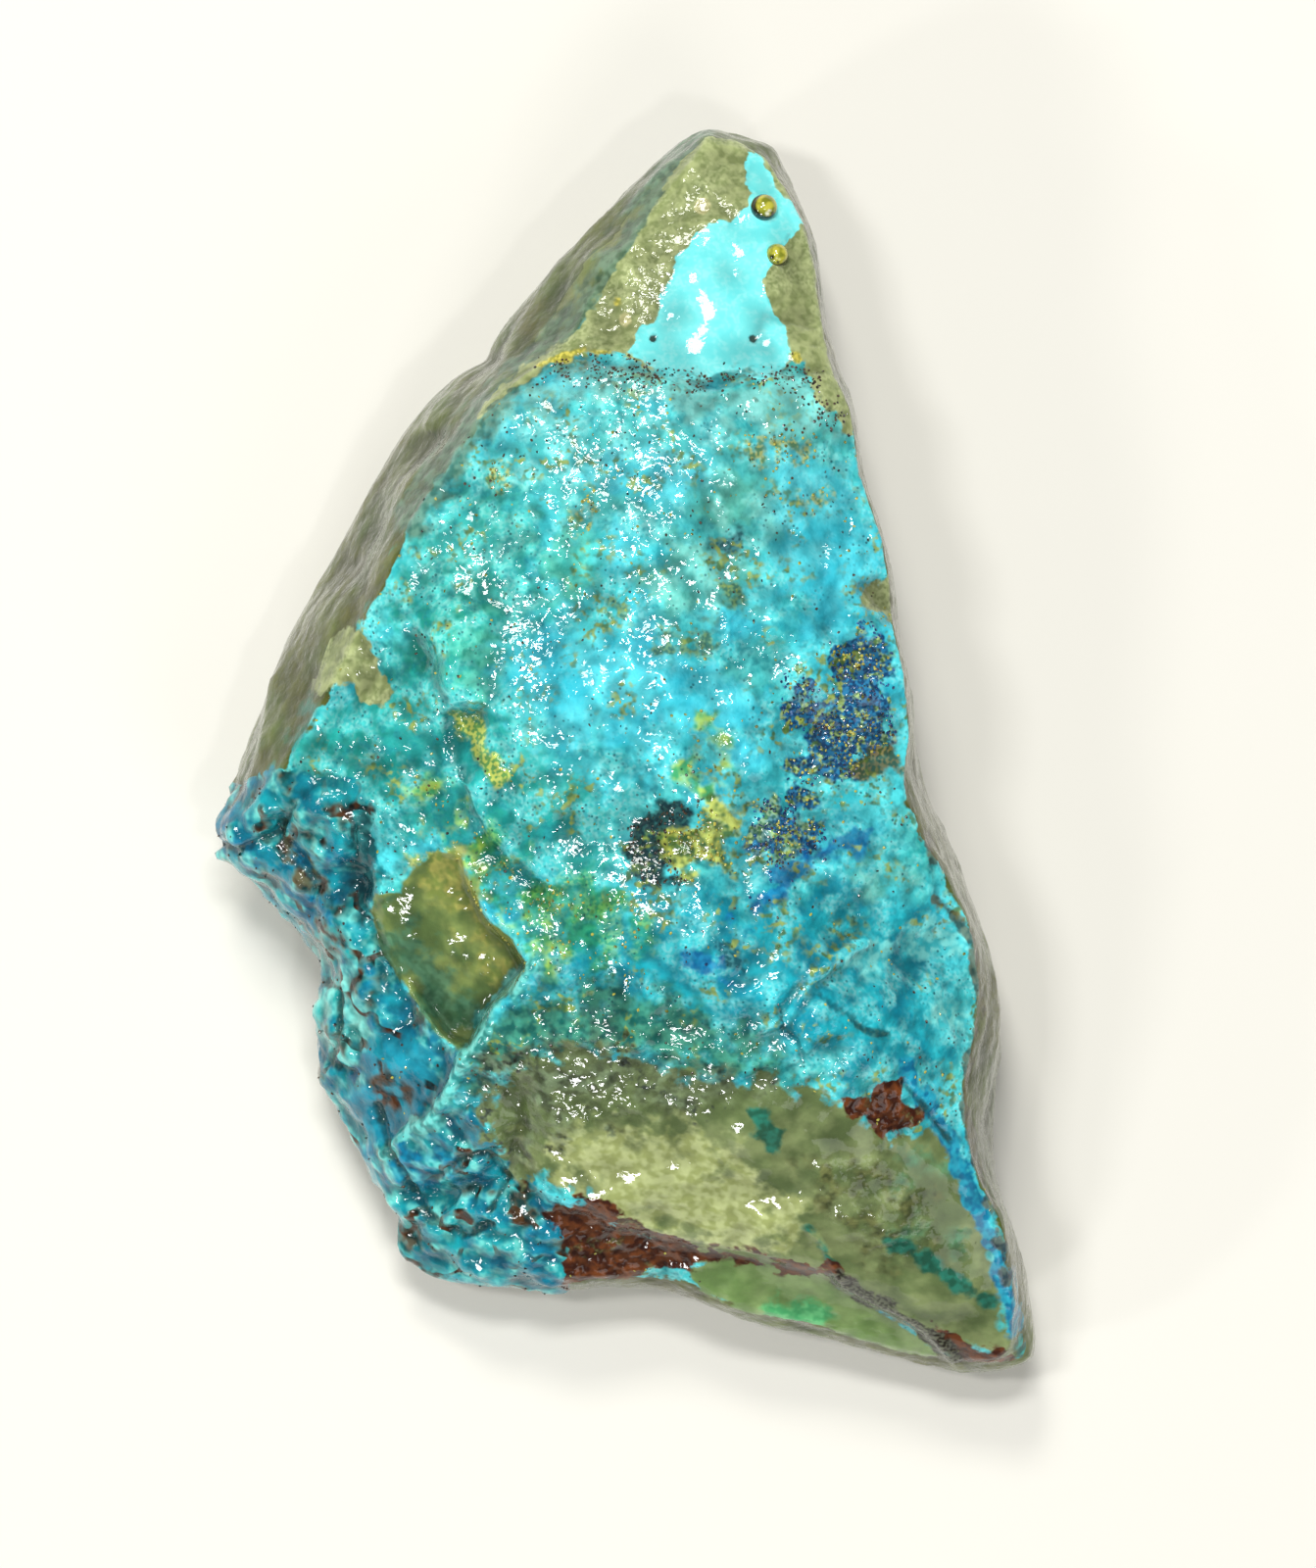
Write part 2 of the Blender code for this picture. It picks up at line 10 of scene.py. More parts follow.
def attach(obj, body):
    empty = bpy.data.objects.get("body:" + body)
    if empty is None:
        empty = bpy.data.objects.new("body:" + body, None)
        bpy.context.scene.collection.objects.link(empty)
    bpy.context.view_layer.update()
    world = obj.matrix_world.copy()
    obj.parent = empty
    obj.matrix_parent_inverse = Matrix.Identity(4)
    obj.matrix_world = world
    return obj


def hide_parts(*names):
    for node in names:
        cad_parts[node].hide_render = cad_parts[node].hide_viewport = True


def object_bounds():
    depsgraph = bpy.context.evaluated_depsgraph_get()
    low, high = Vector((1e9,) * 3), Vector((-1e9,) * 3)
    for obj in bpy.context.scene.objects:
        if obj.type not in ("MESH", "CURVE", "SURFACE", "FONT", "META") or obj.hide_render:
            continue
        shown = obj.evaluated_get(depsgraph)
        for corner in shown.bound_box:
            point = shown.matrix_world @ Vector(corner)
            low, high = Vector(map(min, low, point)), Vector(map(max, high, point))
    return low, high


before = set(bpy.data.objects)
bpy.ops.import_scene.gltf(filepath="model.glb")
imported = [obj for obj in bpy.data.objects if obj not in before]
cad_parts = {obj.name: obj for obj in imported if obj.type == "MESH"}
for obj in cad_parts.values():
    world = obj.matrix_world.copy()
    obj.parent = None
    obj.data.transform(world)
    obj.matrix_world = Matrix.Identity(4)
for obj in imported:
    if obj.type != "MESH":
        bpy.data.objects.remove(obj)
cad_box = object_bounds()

# Sizes are in millimetres unless a name says otherwise. MM turns them into Blender's metres.
MM = 0.001
STONE = "chrysocolla_stone"

# The lens that the stone is seen through, straight down, and where it stands
LENS = 200.0
SENSOR = 36.0
CAMERA = (1.76, -1.75, 484.8)
NEAREST_METRES, FURTHEST_METRES = 0.01, 10.0

# Longest edge of the fine surface on the crusted face, on the broken sides and on the back. The
# fineness of the face reaches FACE_MARGIN past its edge, and the back is all that lies under BACK_TOP.
FACE_EDGE = 0.34
SIDE_EDGE = 0.62
BACK_EDGE = 1.3
FACE_MARGIN = 0.3
BACK_TOP = 1.5
SPLIT_ROUNDS = 5
MERGE_METRES = 1e-6
# The facets relax towards their neighbours. Sharp broken edges give way less, and what the stone
# rests on stays.
RELAX_ROUNDS = 12
RELAX_SHARE = 0.6
SHARP_ANGLE = math.radians(38.0)
SHARP_FREEDOM = 0.25
RESTING_TOP = 0.02

# Nothing that shows on the face lies lower than the first, and no crust than the second, which a
# point sinks towards at the third
FRONT_FLOOR = 3.0
CRUST_FLOOR = 2.2
CRUST_FADE = 2.0
# Outlines are measured no further off than this
FAR = 4.0
# The crust leaves a wall bare where the smoothed surface tilts from the first of WALL_TILT to the
# second, close to the crest, and it runs over the rim at the upper right by RIM_GAIN
UPWARD_ROUNDS = 6
WALL_TILT = (0.55, 0.25)
WALL_STRIP = (1.6, 0.8)
WALL_CUT = 2.5
RIM_GAIN = 0.7
RIM_RIGHT_OF = (6.0, 9.0)
RIM_ABOVE = (-3.0, -1.0)
# The face gives way to the sides this softly, and its minerals end this far past its edge, but for
# those of OVER_THE_EDGE
FACE_SOFTNESS = 0.5
FACE_REACH = 1.5
OVER_THE_EDGE = ("edge_blue", "seam", "crack", "green_band")
# The relief comes in between these heights above the floor
RELIEF_RISE = (0.2, 2.0)

# The edge between the crusted face and the broken sides, clockwise from the point
CREST = [
    (4.4, 33.5), (6.4, 32.7), (7.7, 32.2), (8.6, 30.4), (9.5, 28.8), (10.1, 26.7), (10.5, 23.7),
    (10.9, 21.1), (12.1, 18.3), (12.6, 14.9), (13.7, 11.7), (14.3, 8.8), (14.4, 6.3), (15, 4.1),
    (15.3, 1), (14.9, -1.8), (16, -4.7), (17.3, -6.7), (18.6, -9.5), (19.2, -12.4), (19, -15.4),
    (18.4, -17.6), (18.4, -20.3), (19, -22.8), (20.4, -25.5), (20.8, -28.1), (21.1, -30.7),
    (21, -32.7), (20.2, -33.3), (17.8, -33.3), (15.2, -32.7), (11.7, -31.7), (8.6, -31),
    (5.4, -30.1), (2.7, -28.9), (-0.4, -28.7), (-3.6, -28.9), (-7.3, -28.7), (-10.2, -28.4),
    (-11.9, -27.1), (-12.2, -25.3), (-13.6, -22.7), (-14.9, -19.7), (-16.4, -17.4), (-16, -15.9),
    (-16.5, -13.4), (-15.8, -11.8), (-17.6, -9.3), (-19.9, -6.9), (-21.9, -5.4), (-21.6, -4.4),
    (-20.5, -3.1), (-18.7, -1.1), (-17.1, 1.5), (-15.8, 3.8), (-14.5, 6.4), (-13, 9.2),
    (-11.8, 11.9), (-10.5, 14.1), (-8.9, 16.1), (-7.7, 17.8), (-6.7, 19.1), (-5.5, 20.2),
    (-4.1, 21.3), (-2.8, 22.7), (-2, 24.5), (-0.7, 26.4), (0.9, 28.1), (2.1, 29.7), (3.2, 31.4),
    (3.9, 32.7),
]

# Where each mineral shows on the crusted face: closed outlines, seen from above
AREAS = {
    "sky_patch": [(6.7, 32.7), (7.5, 32.6), (7.7, 31.7), (8.3, 30.5), (9.6, 29.6), (9.7, 29), (9.4, 28.3),
        (8.8, 28), (8.6, 27.5), (7.9, 26.4), (7.4, 25.5), (7.5, 24.5), (8.1, 23.8), (8.8, 22.6), (9, 21.1),
        (8.4, 20.6), (7.5, 19.8), (6.8, 19.9), (6.6, 20.5), (5.5, 20.5), (4.1, 20.2), (2.7, 20.1),
        (1.4, 20.8), (0, 21.5), (0.6, 22.1), (0.8, 23.1), (1.6, 23.2), (1.8, 24.5), (2.5, 25.9),
        (2.7, 26.8), (3.9, 28.1), (4.6, 28.7), (5.6, 28.6), (6.2, 29.2), (6.8, 29.4), (6.9, 30.3),
        (6.5, 30.9), (6.6, 31.7)],
    "bare_point": [(-7.9, 18.1), (-7, 18.7), (-6.2, 19.5), (-4.9, 20.2), (-4.1, 20.9), (-3.3, 21.2),
        (-2.5, 21.4), (-1.5, 21.3), (-0.4, 21.4), (1.2, 20.8), (2.7, 20.5), (6.4, 20.9), (8.8, 20.7),
        (9.6, 20.9), (10, 19.8), (10.6, 18.7), (11.6, 18.1), (11.9, 17.4), (13, 16.9), (14.1, 17.7),
        (13, 25.2), (10.9, 33.3), (6.5, 36.6), (4.2, 34.5), (1.9, 30.4), (-0.1, 26.9), (-1.3, 24.8),
        (-2.6, 22.9), (-4.6, 21.6), (-7.8, 18.9)],
    "upper_flank": [(4.4, 36), (4.2, 34.5), (1.9, 30.4), (-0.1, 26.9), (-1.3, 24.8), (-2.6, 22.9),
        (-4.2, 21.2), (-6.5, 19.2), (-8.2, 18.2), (-13, 15), (-12, 22), (-5, 30), (1, 36)],
    "grey_band": [(-7.3, 18.4), (-4.9, 20.3), (-2.5, 21.2), (0.1, 21.2), (2.2, 20.4), (4.3, 19.9),
        (8, 20.1), (9.3, 20.9), (10.1, 19.6), (11.2, 18), (11.2, 17), (8.5, 16.6), (6.4, 17.7), (3.3, 18),
        (1.2, 18.5), (-2, 19.2), (-4.1, 18.7), (-6.2, 17.9)],
    "olive_notch": [(12.9, 8.2), (13.5, 8.9), (14.1, 9.6), (15.1, 10.2), (15.4, 6.6), (14.1, 7.1),
        (13.5, 7.7)],
    "left_bare": [(-15.2, 6.7), (-14.5, 6.2), (-13.8, 5.9), (-13.5, 5.1), (-13, 3.9), (-12.6, 3.2),
        (-13, 2.5), (-13.8, 2.8), (-14.5, 3.4), (-15.6, 3.9), (-16.6, 2.9), (-17.1, 4.1)],
    "azurite_main": [(11.4, 5.6), (12.5, 5.6), (12.9, 6.7), (13.9, 5.5), (14.1, 4.3), (13.7, 3),
        (14.2, 1.8), (14.1, 0.6), (12.9, -0.1), (11.9, -1.1), (10.8, -1.5), (9, -1.5), (9.2, -0.6),
        (9.8, -0.1), (10.2, 1), (10.8, 1.8), (11.2, 2.8), (11.3, 3.7)],
    "azurite_small": [(8.7, 3.8), (9.9, 3.5), (10.1, 2.1), (9.6, 1.5), (8.9, 1.4), (8.6, 2.5)],
    "azurite_low": [(7.1, -3), (8.3, -2.9), (9.6, -3.6), (10.6, -4.1), (10.6, -5.5), (9.6, -5.5), (8.3, -6),
        (7.1, -5.5), (6.6, -4.9), (7, -4)],
    "azurite_dot": [(8.9, -2.2), (9.8, -2.2), (9.8, -2.9), (8.9, -2.9)],
    "blue_streak": [(7.3, -5.9), (8.3, -6), (9.6, -5.5), (10.4, -5.4), (11.1, -4.8), (12.5, -4.3),
        (13.1, -4.2), (11.9, -5.4), (10.7, -6), (9.2, -6), (9.1, -6.7), (8.6, -7.7), (7.8, -8.2),
        (6.9, -9.1), (6, -9.7), (5.6, -9.3), (6.7, -7.9), (7.7, -7.8), (8.1, -7)],
    "charcoal_low": [(4.1, -10.2), (4.8, -9.8), (5.9, -10.6), (6.3, -11.8), (5.5, -11.4), (4.8, -10.7)],
    "blue_sheen": [(2.8, -10.6), (3.5, -10.2), (4.8, -10.9), (5.1, -11.9), (4, -11.7)],
    "yellow_patch": [(3.9, -3.1), (5.2, -2.9), (6.2, -3.4), (6.1, -4.5), (5.7, -4.9), (5.8, -6.4),
        (5.3, -6.4), (4.5, -5.7), (3.7, -6.4), (3, -6.6), (2.4, -6.5), (2.2, -5.4), (2.5, -4.4),
        (3.4, -4.3), (4, -4)],
    "dark_patch": [(2.1, -2.9), (3.8, -2.7), (3.9, -3.4), (3.3, -4.2), (2.5, -4.4), (2.2, -5.4),
        (2.4, -6.5), (3, -6.7), (2.6, -7.8), (1.6, -7.3), (0.6, -6.5), (0.3, -5.4), (0.3, -4.2), (1, -3.6),
        (2, -3.5)],
    "green_a": [(2.8, -1), (3.8, -0.6), (5, -0.9), (4.8, -2), (3.9, -2.4), (3.1, -2.2)],
    "green_b": [(3.3, 1.7), (4.6, 1.8), (5.5, 1.1), (5.3, 0.4), (4, 0.5)],
    "green_field": [(-8.4, -3.8), (-7.3, -4.4), (-5.7, -5.5), (-4.1, -6.9), (-2, -7.3), (0.1, -7.8),
        (1.3, -9.1), (0.9, -10.9), (-0.9, -11.5), (-3, -10.9), (-4.5, -11.1), (-5.4, -10.4), (-6.1, -9.4),
        (-7.3, -8.3), (-8, -6.8)],
    "ochre_streak": [(-8.9, 1.8), (-8.2, 1.8), (-7.6, 0.7), (-7, -0.4), (-6.6, -1.6), (-7.3, -1.3),
        (-8, -0.1), (-8.5, 0.9)],
    "orange_right": [(12.4, -0.7), (13.3, -0.2), (14.1, 0.2), (14.8, -0.2), (14.6, -1), (13.3, -1.3)],
    "cloud_right": [(13, -6.8), (14.1, -6.2), (15.1, -6.8), (14.9, -7.7), (13.5, -7.8)],
    "brown_low": [(10.5, -9.1), (11.7, -8.8), (12.8, -9.4), (12.5, -9.8), (11.2, -9.7)],
    "sage_a": [(0.7, 10.2), (2.7, 11), (5.1, 10.8), (6.6, 9.8), (6.4, 8.1), (4.3, 7.5), (2.2, 8),
        (0.9, 8.7)],
    "sage_b": [(4.1, 14), (5.6, 15), (7.7, 14.6), (7.9, 13), (6.9, 11.6), (5.1, 11.9), (4.2, 12.9)],
    "dark_crescent": [(4.4, 11.5), (5.1, 11.3), (5.8, 11.7), (6, 12.5), (6.5, 12), (6.3, 11.1), (5.4, 10.7),
        (4.5, 10.9)],
    "gold_a": [(6.2, 16.6), (8, 16.9), (10, 16.7), (10.1, 16), (8.5, 15.6), (6.9, 15.7)],
    "gold_streak": [(9.3, 13.2), (10, 13.9), (10.8, 14.4), (10.9, 14.1), (10.2, 13.4), (9.5, 13)],
    "gold_b": [(-2.8, 12.3), (-2.5, 13.2), (-2, 13.8), (-1.8, 13.4), (-2.2, 12.7), (-2.4, 12.1)],
    "gold_c": [(-7.3, 15), (-6.6, 15.5), (-6.2, 14.8), (-6.5, 14.2), (-7.1, 14.4)],
    "olive_blob": [(5.3, 8.8), (6.1, 9), (6.5, 8.2), (6, 7.7), (5.4, 7.9)],
    "brown_blob": [(-0.9, 8), (-0.2, 8.2), (0.2, 7.6), (-0.2, 7), (-0.8, 7.3)],
    "brown_cluster": [(1.4, 6.1), (2.7, 6.4), (4, 6.2), (4.7, 5.9), (4.3, 5.2), (2.7, 5.1), (1.7, 5.4)],
    "sea_green_a": [(-4.3, 11.5), (-3.1, 12), (-1.6, 11.6), (-1.4, 10.1), (-2, 8.7), (-3.3, 8.6),
        (-4.1, 9.6)],
    "sea_green_b": [(-8.4, 6.7), (-7.5, 7.1), (-6.8, 5.9), (-7.3, 4), (-8, 2.9), (-8.6, 4)],
    "blue_a": [(-1.5, 15.2), (0.6, 15.8), (3.3, 15.7), (4.4, 15), (4, 14), (1.2, 13.9), (-0.9, 14.1)],
    "blue_b": [(-1.4, 11.6), (0.1, 11.9), (0.7, 11.1), (0.4, 10.2), (-1.1, 10.1)],
    "blue_c": [(7.2, 13.4), (8, 14.2), (8.7, 13.4), (8.4, 11.9), (7.5, 11.7)],
    "pale_right": [(15.1, -9.7), (16.8, -9.3), (18.4, -9.7), (18.6, -11), (17, -10.9), (15.4, -10.6)],
    "pale_low": [(16.5, -13.5), (17.8, -13.3), (18.9, -14), (18.8, -14.8), (17, -14.8)],
    "block": [(12.4, -10.2), (14, -10.1), (14, -11.8), (13.1, -12), (11.3, -11.7), (11.8, -11)],
    "hollow": [(-10.1, -5.3), (-8.9, -5.5), (-8.3, -7.3), (-7.3, -9.2), (-6.1, -10), (-5.1, -11.7),
        (-6.2, -13.2), (-7, -13.8), (-7.8, -15.5), (-8.4, -16.5), (-10, -15.5), (-11.6, -13.4),
        (-13, -11.1), (-13.9, -8.7), (-13.4, -7.7), (-12.2, -7.6), (-11.4, -6.2)],
    "hollow_ochre": [(-10.9, -5.3), (-8.9, -5.3), (-8.2, -7.3), (-7.3, -9.4), (-6.7, -11), (-7.1, -12.6),
        (-8, -11.8), (-8.4, -9.7), (-9.4, -7.8), (-11, -7.3)],
    "lobed_corner": [(-25, -4.4), (-23, -1.8), (-20.1, -1.3), (-18, -1), (-16.1, -1.3), (-14.7, -1.9),
        (-14, -2.8), (-13.7, -4.4), (-13.3, -6.1), (-12.7, -6.9), (-13.4, -7.7), (-13.9, -8.7),
        (-13, -11.1), (-11.6, -13.4), (-10, -15.5), (-8.4, -16.6), (-9.1, -17.7), (-9.7, -18.8),
        (-7.8, -19.4), (-6.7, -20.9), (-5.2, -22.8), (-3.9, -24.2), (-3.2, -25.1), (-3, -27.2),
        (-2.9, -32), (-8.6, -32.5), (-14, -31), (-16.5, -27), (-19, -22), (-20.5, -18),
        (-21.5, -12.5), (-23.5, -9)],
    "cleft_dark": [(-14.8, -3.6), (-14.1, -3.4), (-13.6, -4.9), (-13.8, -7.1), (-14.1, -9.5), (-14.5, -9.5),
        (-14.7, -7.1)],
    "brown_ring": [(-18.7, -5), (-17.7, -4.5), (-16.8, -5), (-16.5, -6.3), (-17.1, -7.2), (-18.1, -7.4),
        (-18.6, -6.6)],
    "pale_knobs": [(-17.2, -10.1), (-15.6, -9.7), (-14.7, -11.1), (-14.5, -13.5), (-13.8, -15.6),
        (-14.5, -17.5), (-15.6, -19.2), (-16.7, -18.9), (-17.6, -17.4), (-17.2, -15.2), (-17.6, -13.4),
        (-17.2, -11.7)],
    "blue_slab": [(-13, -14.8), (-11.6, -15), (-10.3, -16.6), (-10.6, -18.5), (-11.4, -20.4),
        (-13.1, -21.6), (-14, -21.4), (-14.9, -19.5), (-14.3, -17.3)],
    "khaki": [(-6.3, -17.6), (-5.4, -16.8), (-3.1, -16), (-0, -16.2), (3.1, -17.3), (5.2, -17.7),
        (8.5, -17.3), (9.4, -18.3), (11.4, -18.5), (12.7, -19.3), (14.2, -20.8), (16.1, -20.1),
        (17.6, -20.7), (18, -21.8), (18.7, -23.3), (19.3, -25), (20, -26.7), (20.4, -28.9), (20.9, -30.4),
        (21.2, -33.2), (17.2, -32.6), (11.6, -29.8), (9.5, -29), (4, -27.8), (1, -26.7), (-0.7, -25.4),
        (-2.6, -23.9), (-3.6, -23.3), (-6.2, -22.9), (-7.4, -21), (-8, -19.2)],
    "rough_band": [(-7.8, -17.4), (-5.4, -16.1), (-3.1, -15.4), (-0, -15.5), (3.5, -16.7), (6.4, -17.1),
        (8.9, -17), (9.2, -18.8), (5.2, -19.2), (0.6, -19.8), (-3.1, -20.4), (-5.6, -22.4), (-7.3, -20.8)],
    "pale_slope": [(-4.6, -21.6), (-3.4, -20.7), (-1.1, -20.3), (4, -21.1), (7.3, -23.5), (9, -24.7),
        (8.6, -26.3), (6.1, -27), (2.3, -26.1), (-1.1, -24.6), (-3.2, -22.6)],
    "brown_slope": [(10, -21.8), (13.6, -21.7), (16.3, -23.8), (17.1, -26.3), (15, -27.8), (12.9, -27),
        (10.7, -25.1)],
    "green_slope": [(14.1, -21.9), (15.7, -21.2), (17.5, -21.9), (17.7, -23), (15.5, -23.2)],
    "teal_bean": [(6.5, -19.3), (7.7, -19.3), (8.5, -20.4), (8.4, -21.4), (7.8, -21.7), (7.1, -20.9)],
    "teal_cloud": [(15.5, -24.5), (16.8, -25), (18.7, -26.3), (18.3, -28), (16.1, -27.3), (15.2, -25.9)],
    "teal_rod": [(14.2, -26.4), (15.7, -26.9), (17.7, -28), (20.4, -30), (20.2, -30.5), (17.2, -28.8),
        (15.5, -27.6), (14.3, -27.3)],
    "red_corner": [(-4.2, -24.9), (-3.2, -24.3), (-1.5, -24.4), (-0.7, -25.2), (1, -26.2), (4, -27.1),
        (3.6, -28), (1, -28.2), (-0.5, -29.3), (-3.2, -29.8), (-3, -27.3), (-3.4, -26)],
    "red_end": [(16.7, -31.1), (18, -32.1), (20.1, -32.9), (21.4, -33.4), (21.2, -34.6), (18.7, -34.6),
        (18, -33.4)],
    "red_diamond": [(13.2, -18), (14.4, -17.7), (14.9, -17.7), (15.5, -19.4), (16.1, -19.7), (16, -20.1),
        (14.5, -20.8), (12.8, -19.8), (11.8, -19.2), (11.4, -18.6), (11.9, -18.2), (12.8, -19),
        (13.2, -18.6)],
    "lens": [(3.6, -28.2), (6.5, -27.6), (10.1, -28.4), (11.8, -29.4), (15.5, -31.6), (16.8, -33),
        (18.1, -34.4), (15.9, -34.6), (13.8, -33.7), (8.9, -32.5), (7.4, -31.5), (5.3, -30), (4, -29.5)],
    "lens_spot": [(7.8, -30.3), (9.5, -29.9), (10.8, -30.8), (10.1, -32.5), (8.3, -32.1)],
    "low_crust": [(-7.3, -12.8), (-0.9, -9.1), (6.4, -7), (13.8, -6), (16.9, -8.6), (17.7, -12.3),
        (17.2, -16.5), (13.8, -17.5), (3.3, -15.4), (-4.1, -14.9)],
    "left_crust": [(-16.2, 2.5), (-12.5, 6.7), (-8.8, 8.8), (-6.2, 5.6), (-5.2, 0.4), (-1, -2.4),
        (0.4, -5.6), (-2.4, -7.6), (-6.8, -7.6), (-8.8, -6), (-12.5, -4.9), (-15.7, -3.3), (-18.3, -1.2)],
    "shore": [(-8.4, -14.2), (-5, -12.8), (-1, -12.6), (3, -13.4), (6, -14.6), (8.2, -16.2),
        (8.4, -17.4), (5.2, -17.9), (0, -16.4), (-5.4, -17), (-8.6, -18.6)],
    "left_green": [(-8.8, 15.6), (-4.1, 13), (-4.1, 6.7), (-8.3, 3.5), (-12.5, 6.1), (-12, 10.9)],
    "upper_crust": [(-5.2, 19.2), (-1, 18.6), (5, 18.4), (11.6, 17.4), (13.2, 12.4), (10.6, 11.2),
        (3.4, 11), (-2.6, 12.2), (-8.4, 13.8), (-7.8, 17)],
    "clear_a": [(7, 16.8), (12.7, 15.7), (14, 8.8), (11.1, 6.2), (8.5, 8.8), (7.5, 13)],
    "clear_b": [(-6.1, 5.6), (0.1, 6.1), (6.4, 4), (8.5, 0.3), (3.2, 1.4), (-2, -0.2), (-5.6, 1.4)],
    "hollow_green": [(-13.3, -10.1), (-11.9, -12.2), (-10.3, -15.3), (-8.3, -16.4), (-7.2, -13.8),
        (-9.2, -12.4), (-10.8, -10.3), (-12.4, -8.6)],
    "hollow_gold": [(-11.3, -5.3), (-10, -5.4), (-9.6, -7.3), (-10.6, -7.4)],
    "wet_pool": [(0.1, 27.6), (2.7, 27.8), (2.6, 26), (1.8, 23.6), (0.1, 24.7), (-1.2, 25.5)],
    "cyan_drop": [(21.7, -31.7), (22.3, -31.5), (23.2, -32.8), (23.1, -33.9), (21.7, -33.7), (21.4, -32.7)],
}

# Veins, seams, ridges and cracks on it: open lines
LINES = {
    "red_line": [(3.6, -27.5), (5.4, -27.4), (6.9, -27.5), (9.5, -28.2), (11, -28), (11.9, -28.9)],
    "metal_vein": [(11.6, -28.7), (12, -29.1), (13.7, -30), (15.7, -31.1), (17.1, -32.2), (18.4, -33.9)],
    "green_thread": [(9.9, -25.8), (10.6, -26.5), (11.1, -27.6), (11.4, -28.4)],
    "lip_line": [(-5.1, -11.7), (-6.4, -13.1), (-7.5, -14.4), (-8.1, -15.9), (-9.1, -17.3), (-9.7, -18.7),
        (-10.6, -20.1), (-11.6, -20.5), (-13.2, -22)],
    "low_ridge": [(-10.9, -26.3), (-9.6, -25.6), (-8.6, -24.2)],
    "right_seam": [(16.4, -4.4), (16.6, -6.5), (16.8, -7.9), (17.8, -8.9), (18.5, -9.7), (18.9, -11.8),
        (19.3, -13), (19.1, -15.1), (18.5, -17), (18.4, -19.3), (19, -22), (19.8, -24.3), (20.3, -26.3),
        (20.9, -29)],
    "right_blue": [(15.2, -17.2), (16.2, -19), (17.4, -20.9), (18.4, -23), (19.3, -25.3), (20.2, -27.3),
        (20.9, -29.8), (21.3, -31.4)],
    "crack_a": [(10.4, -13), (11, -13.6), (12.1, -14.2), (12.5, -14.7), (13.3, -15.1), (14.2, -15.3)],
    "crack_b": [(8.3, -13.8), (8.5, -14.9), (9.2, -15.5), (9.5, -16.3)],
    "crack_c": [(15, -17.8), (16, -19), (16.8, -20.1), (17.6, -21.1)],
    "crack_d": [(-22.9, -5), (-21.3, -5.5), (-20.1, -5.1), (-18.9, -4.4), (-18, -2.8)],
    "crack_e": [(-13.6, -19.4), (-12.8, -22.1), (-11.5, -24.1), (-10.7, -25.4), (-9.1, -26.5),
        (-7.4, -25.8)],
    "crack_f": [(-10.4, -23.4), (-9, -22), (-7.4, -21.7), (-6.3, -23.1), (-7.4, -25)],
    "crack_g": [(-16.6, -12.5), (-15.7, -13), (-15.6, -15.1), (-16.3, -17.1), (-14.9, -17.6)],
    "top_edge": [(-4.1, 20.4), (-2.5, 20.6), (0.1, 20.5), (2.2, 19.9), (4.3, 19.6), (8, 20), (9.3, 20.5),
        (10.1, 19.5), (11.1, 18)],
    "yellow_rim": [(-4.6, 20.9), (-3.4, 21.3), (-2.2, 21.6), (-0.9, 21.5), (0.2, 21.3)],
    "green_band": [(3.8, 33.8), (1.8, 30.4), (-0.2, 26.9), (-1.5, 24.8), (-2.9, 22.9), (-4.6, 21.3),
        (-7.6, 18.4), (-9.6, 15.6), (-11.6, 12.6)],
    "yellow_vein": [(-10.4, -1.8), (-9.6, -3.6), (-8.8, -5.5), (-7.3, -7.6), (-5.7, -9.7), (-4.3, -11)],
    "ridge_a": [(7, -15), (8.5, -14.5), (9.9, -12.4), (11.2, -11.1), (12.8, -10.3)],
    "groove": [(-11.5, 6.2), (-10.4, 4), (-9.6, 2.2), (-8.9, -1.2), (-8.3, -3.3), (-7.3, -4.9), (-6.2, -6),
        (-4.9, -6.9), (-3.3, -7.4)],
}

# Single grains and pits on the face
SPOTS = {
    "spot_a": (4.1, 29.5), "spot_b": (-0.4, 24.3), "spot_c": (0.0, 23.4), "spot_d": (9.2, 21.2),
    "spot_e": (11.2, 19.1), "pit_a": (1.5, 22.3), "pit_b": (6.9, 22.3),
}

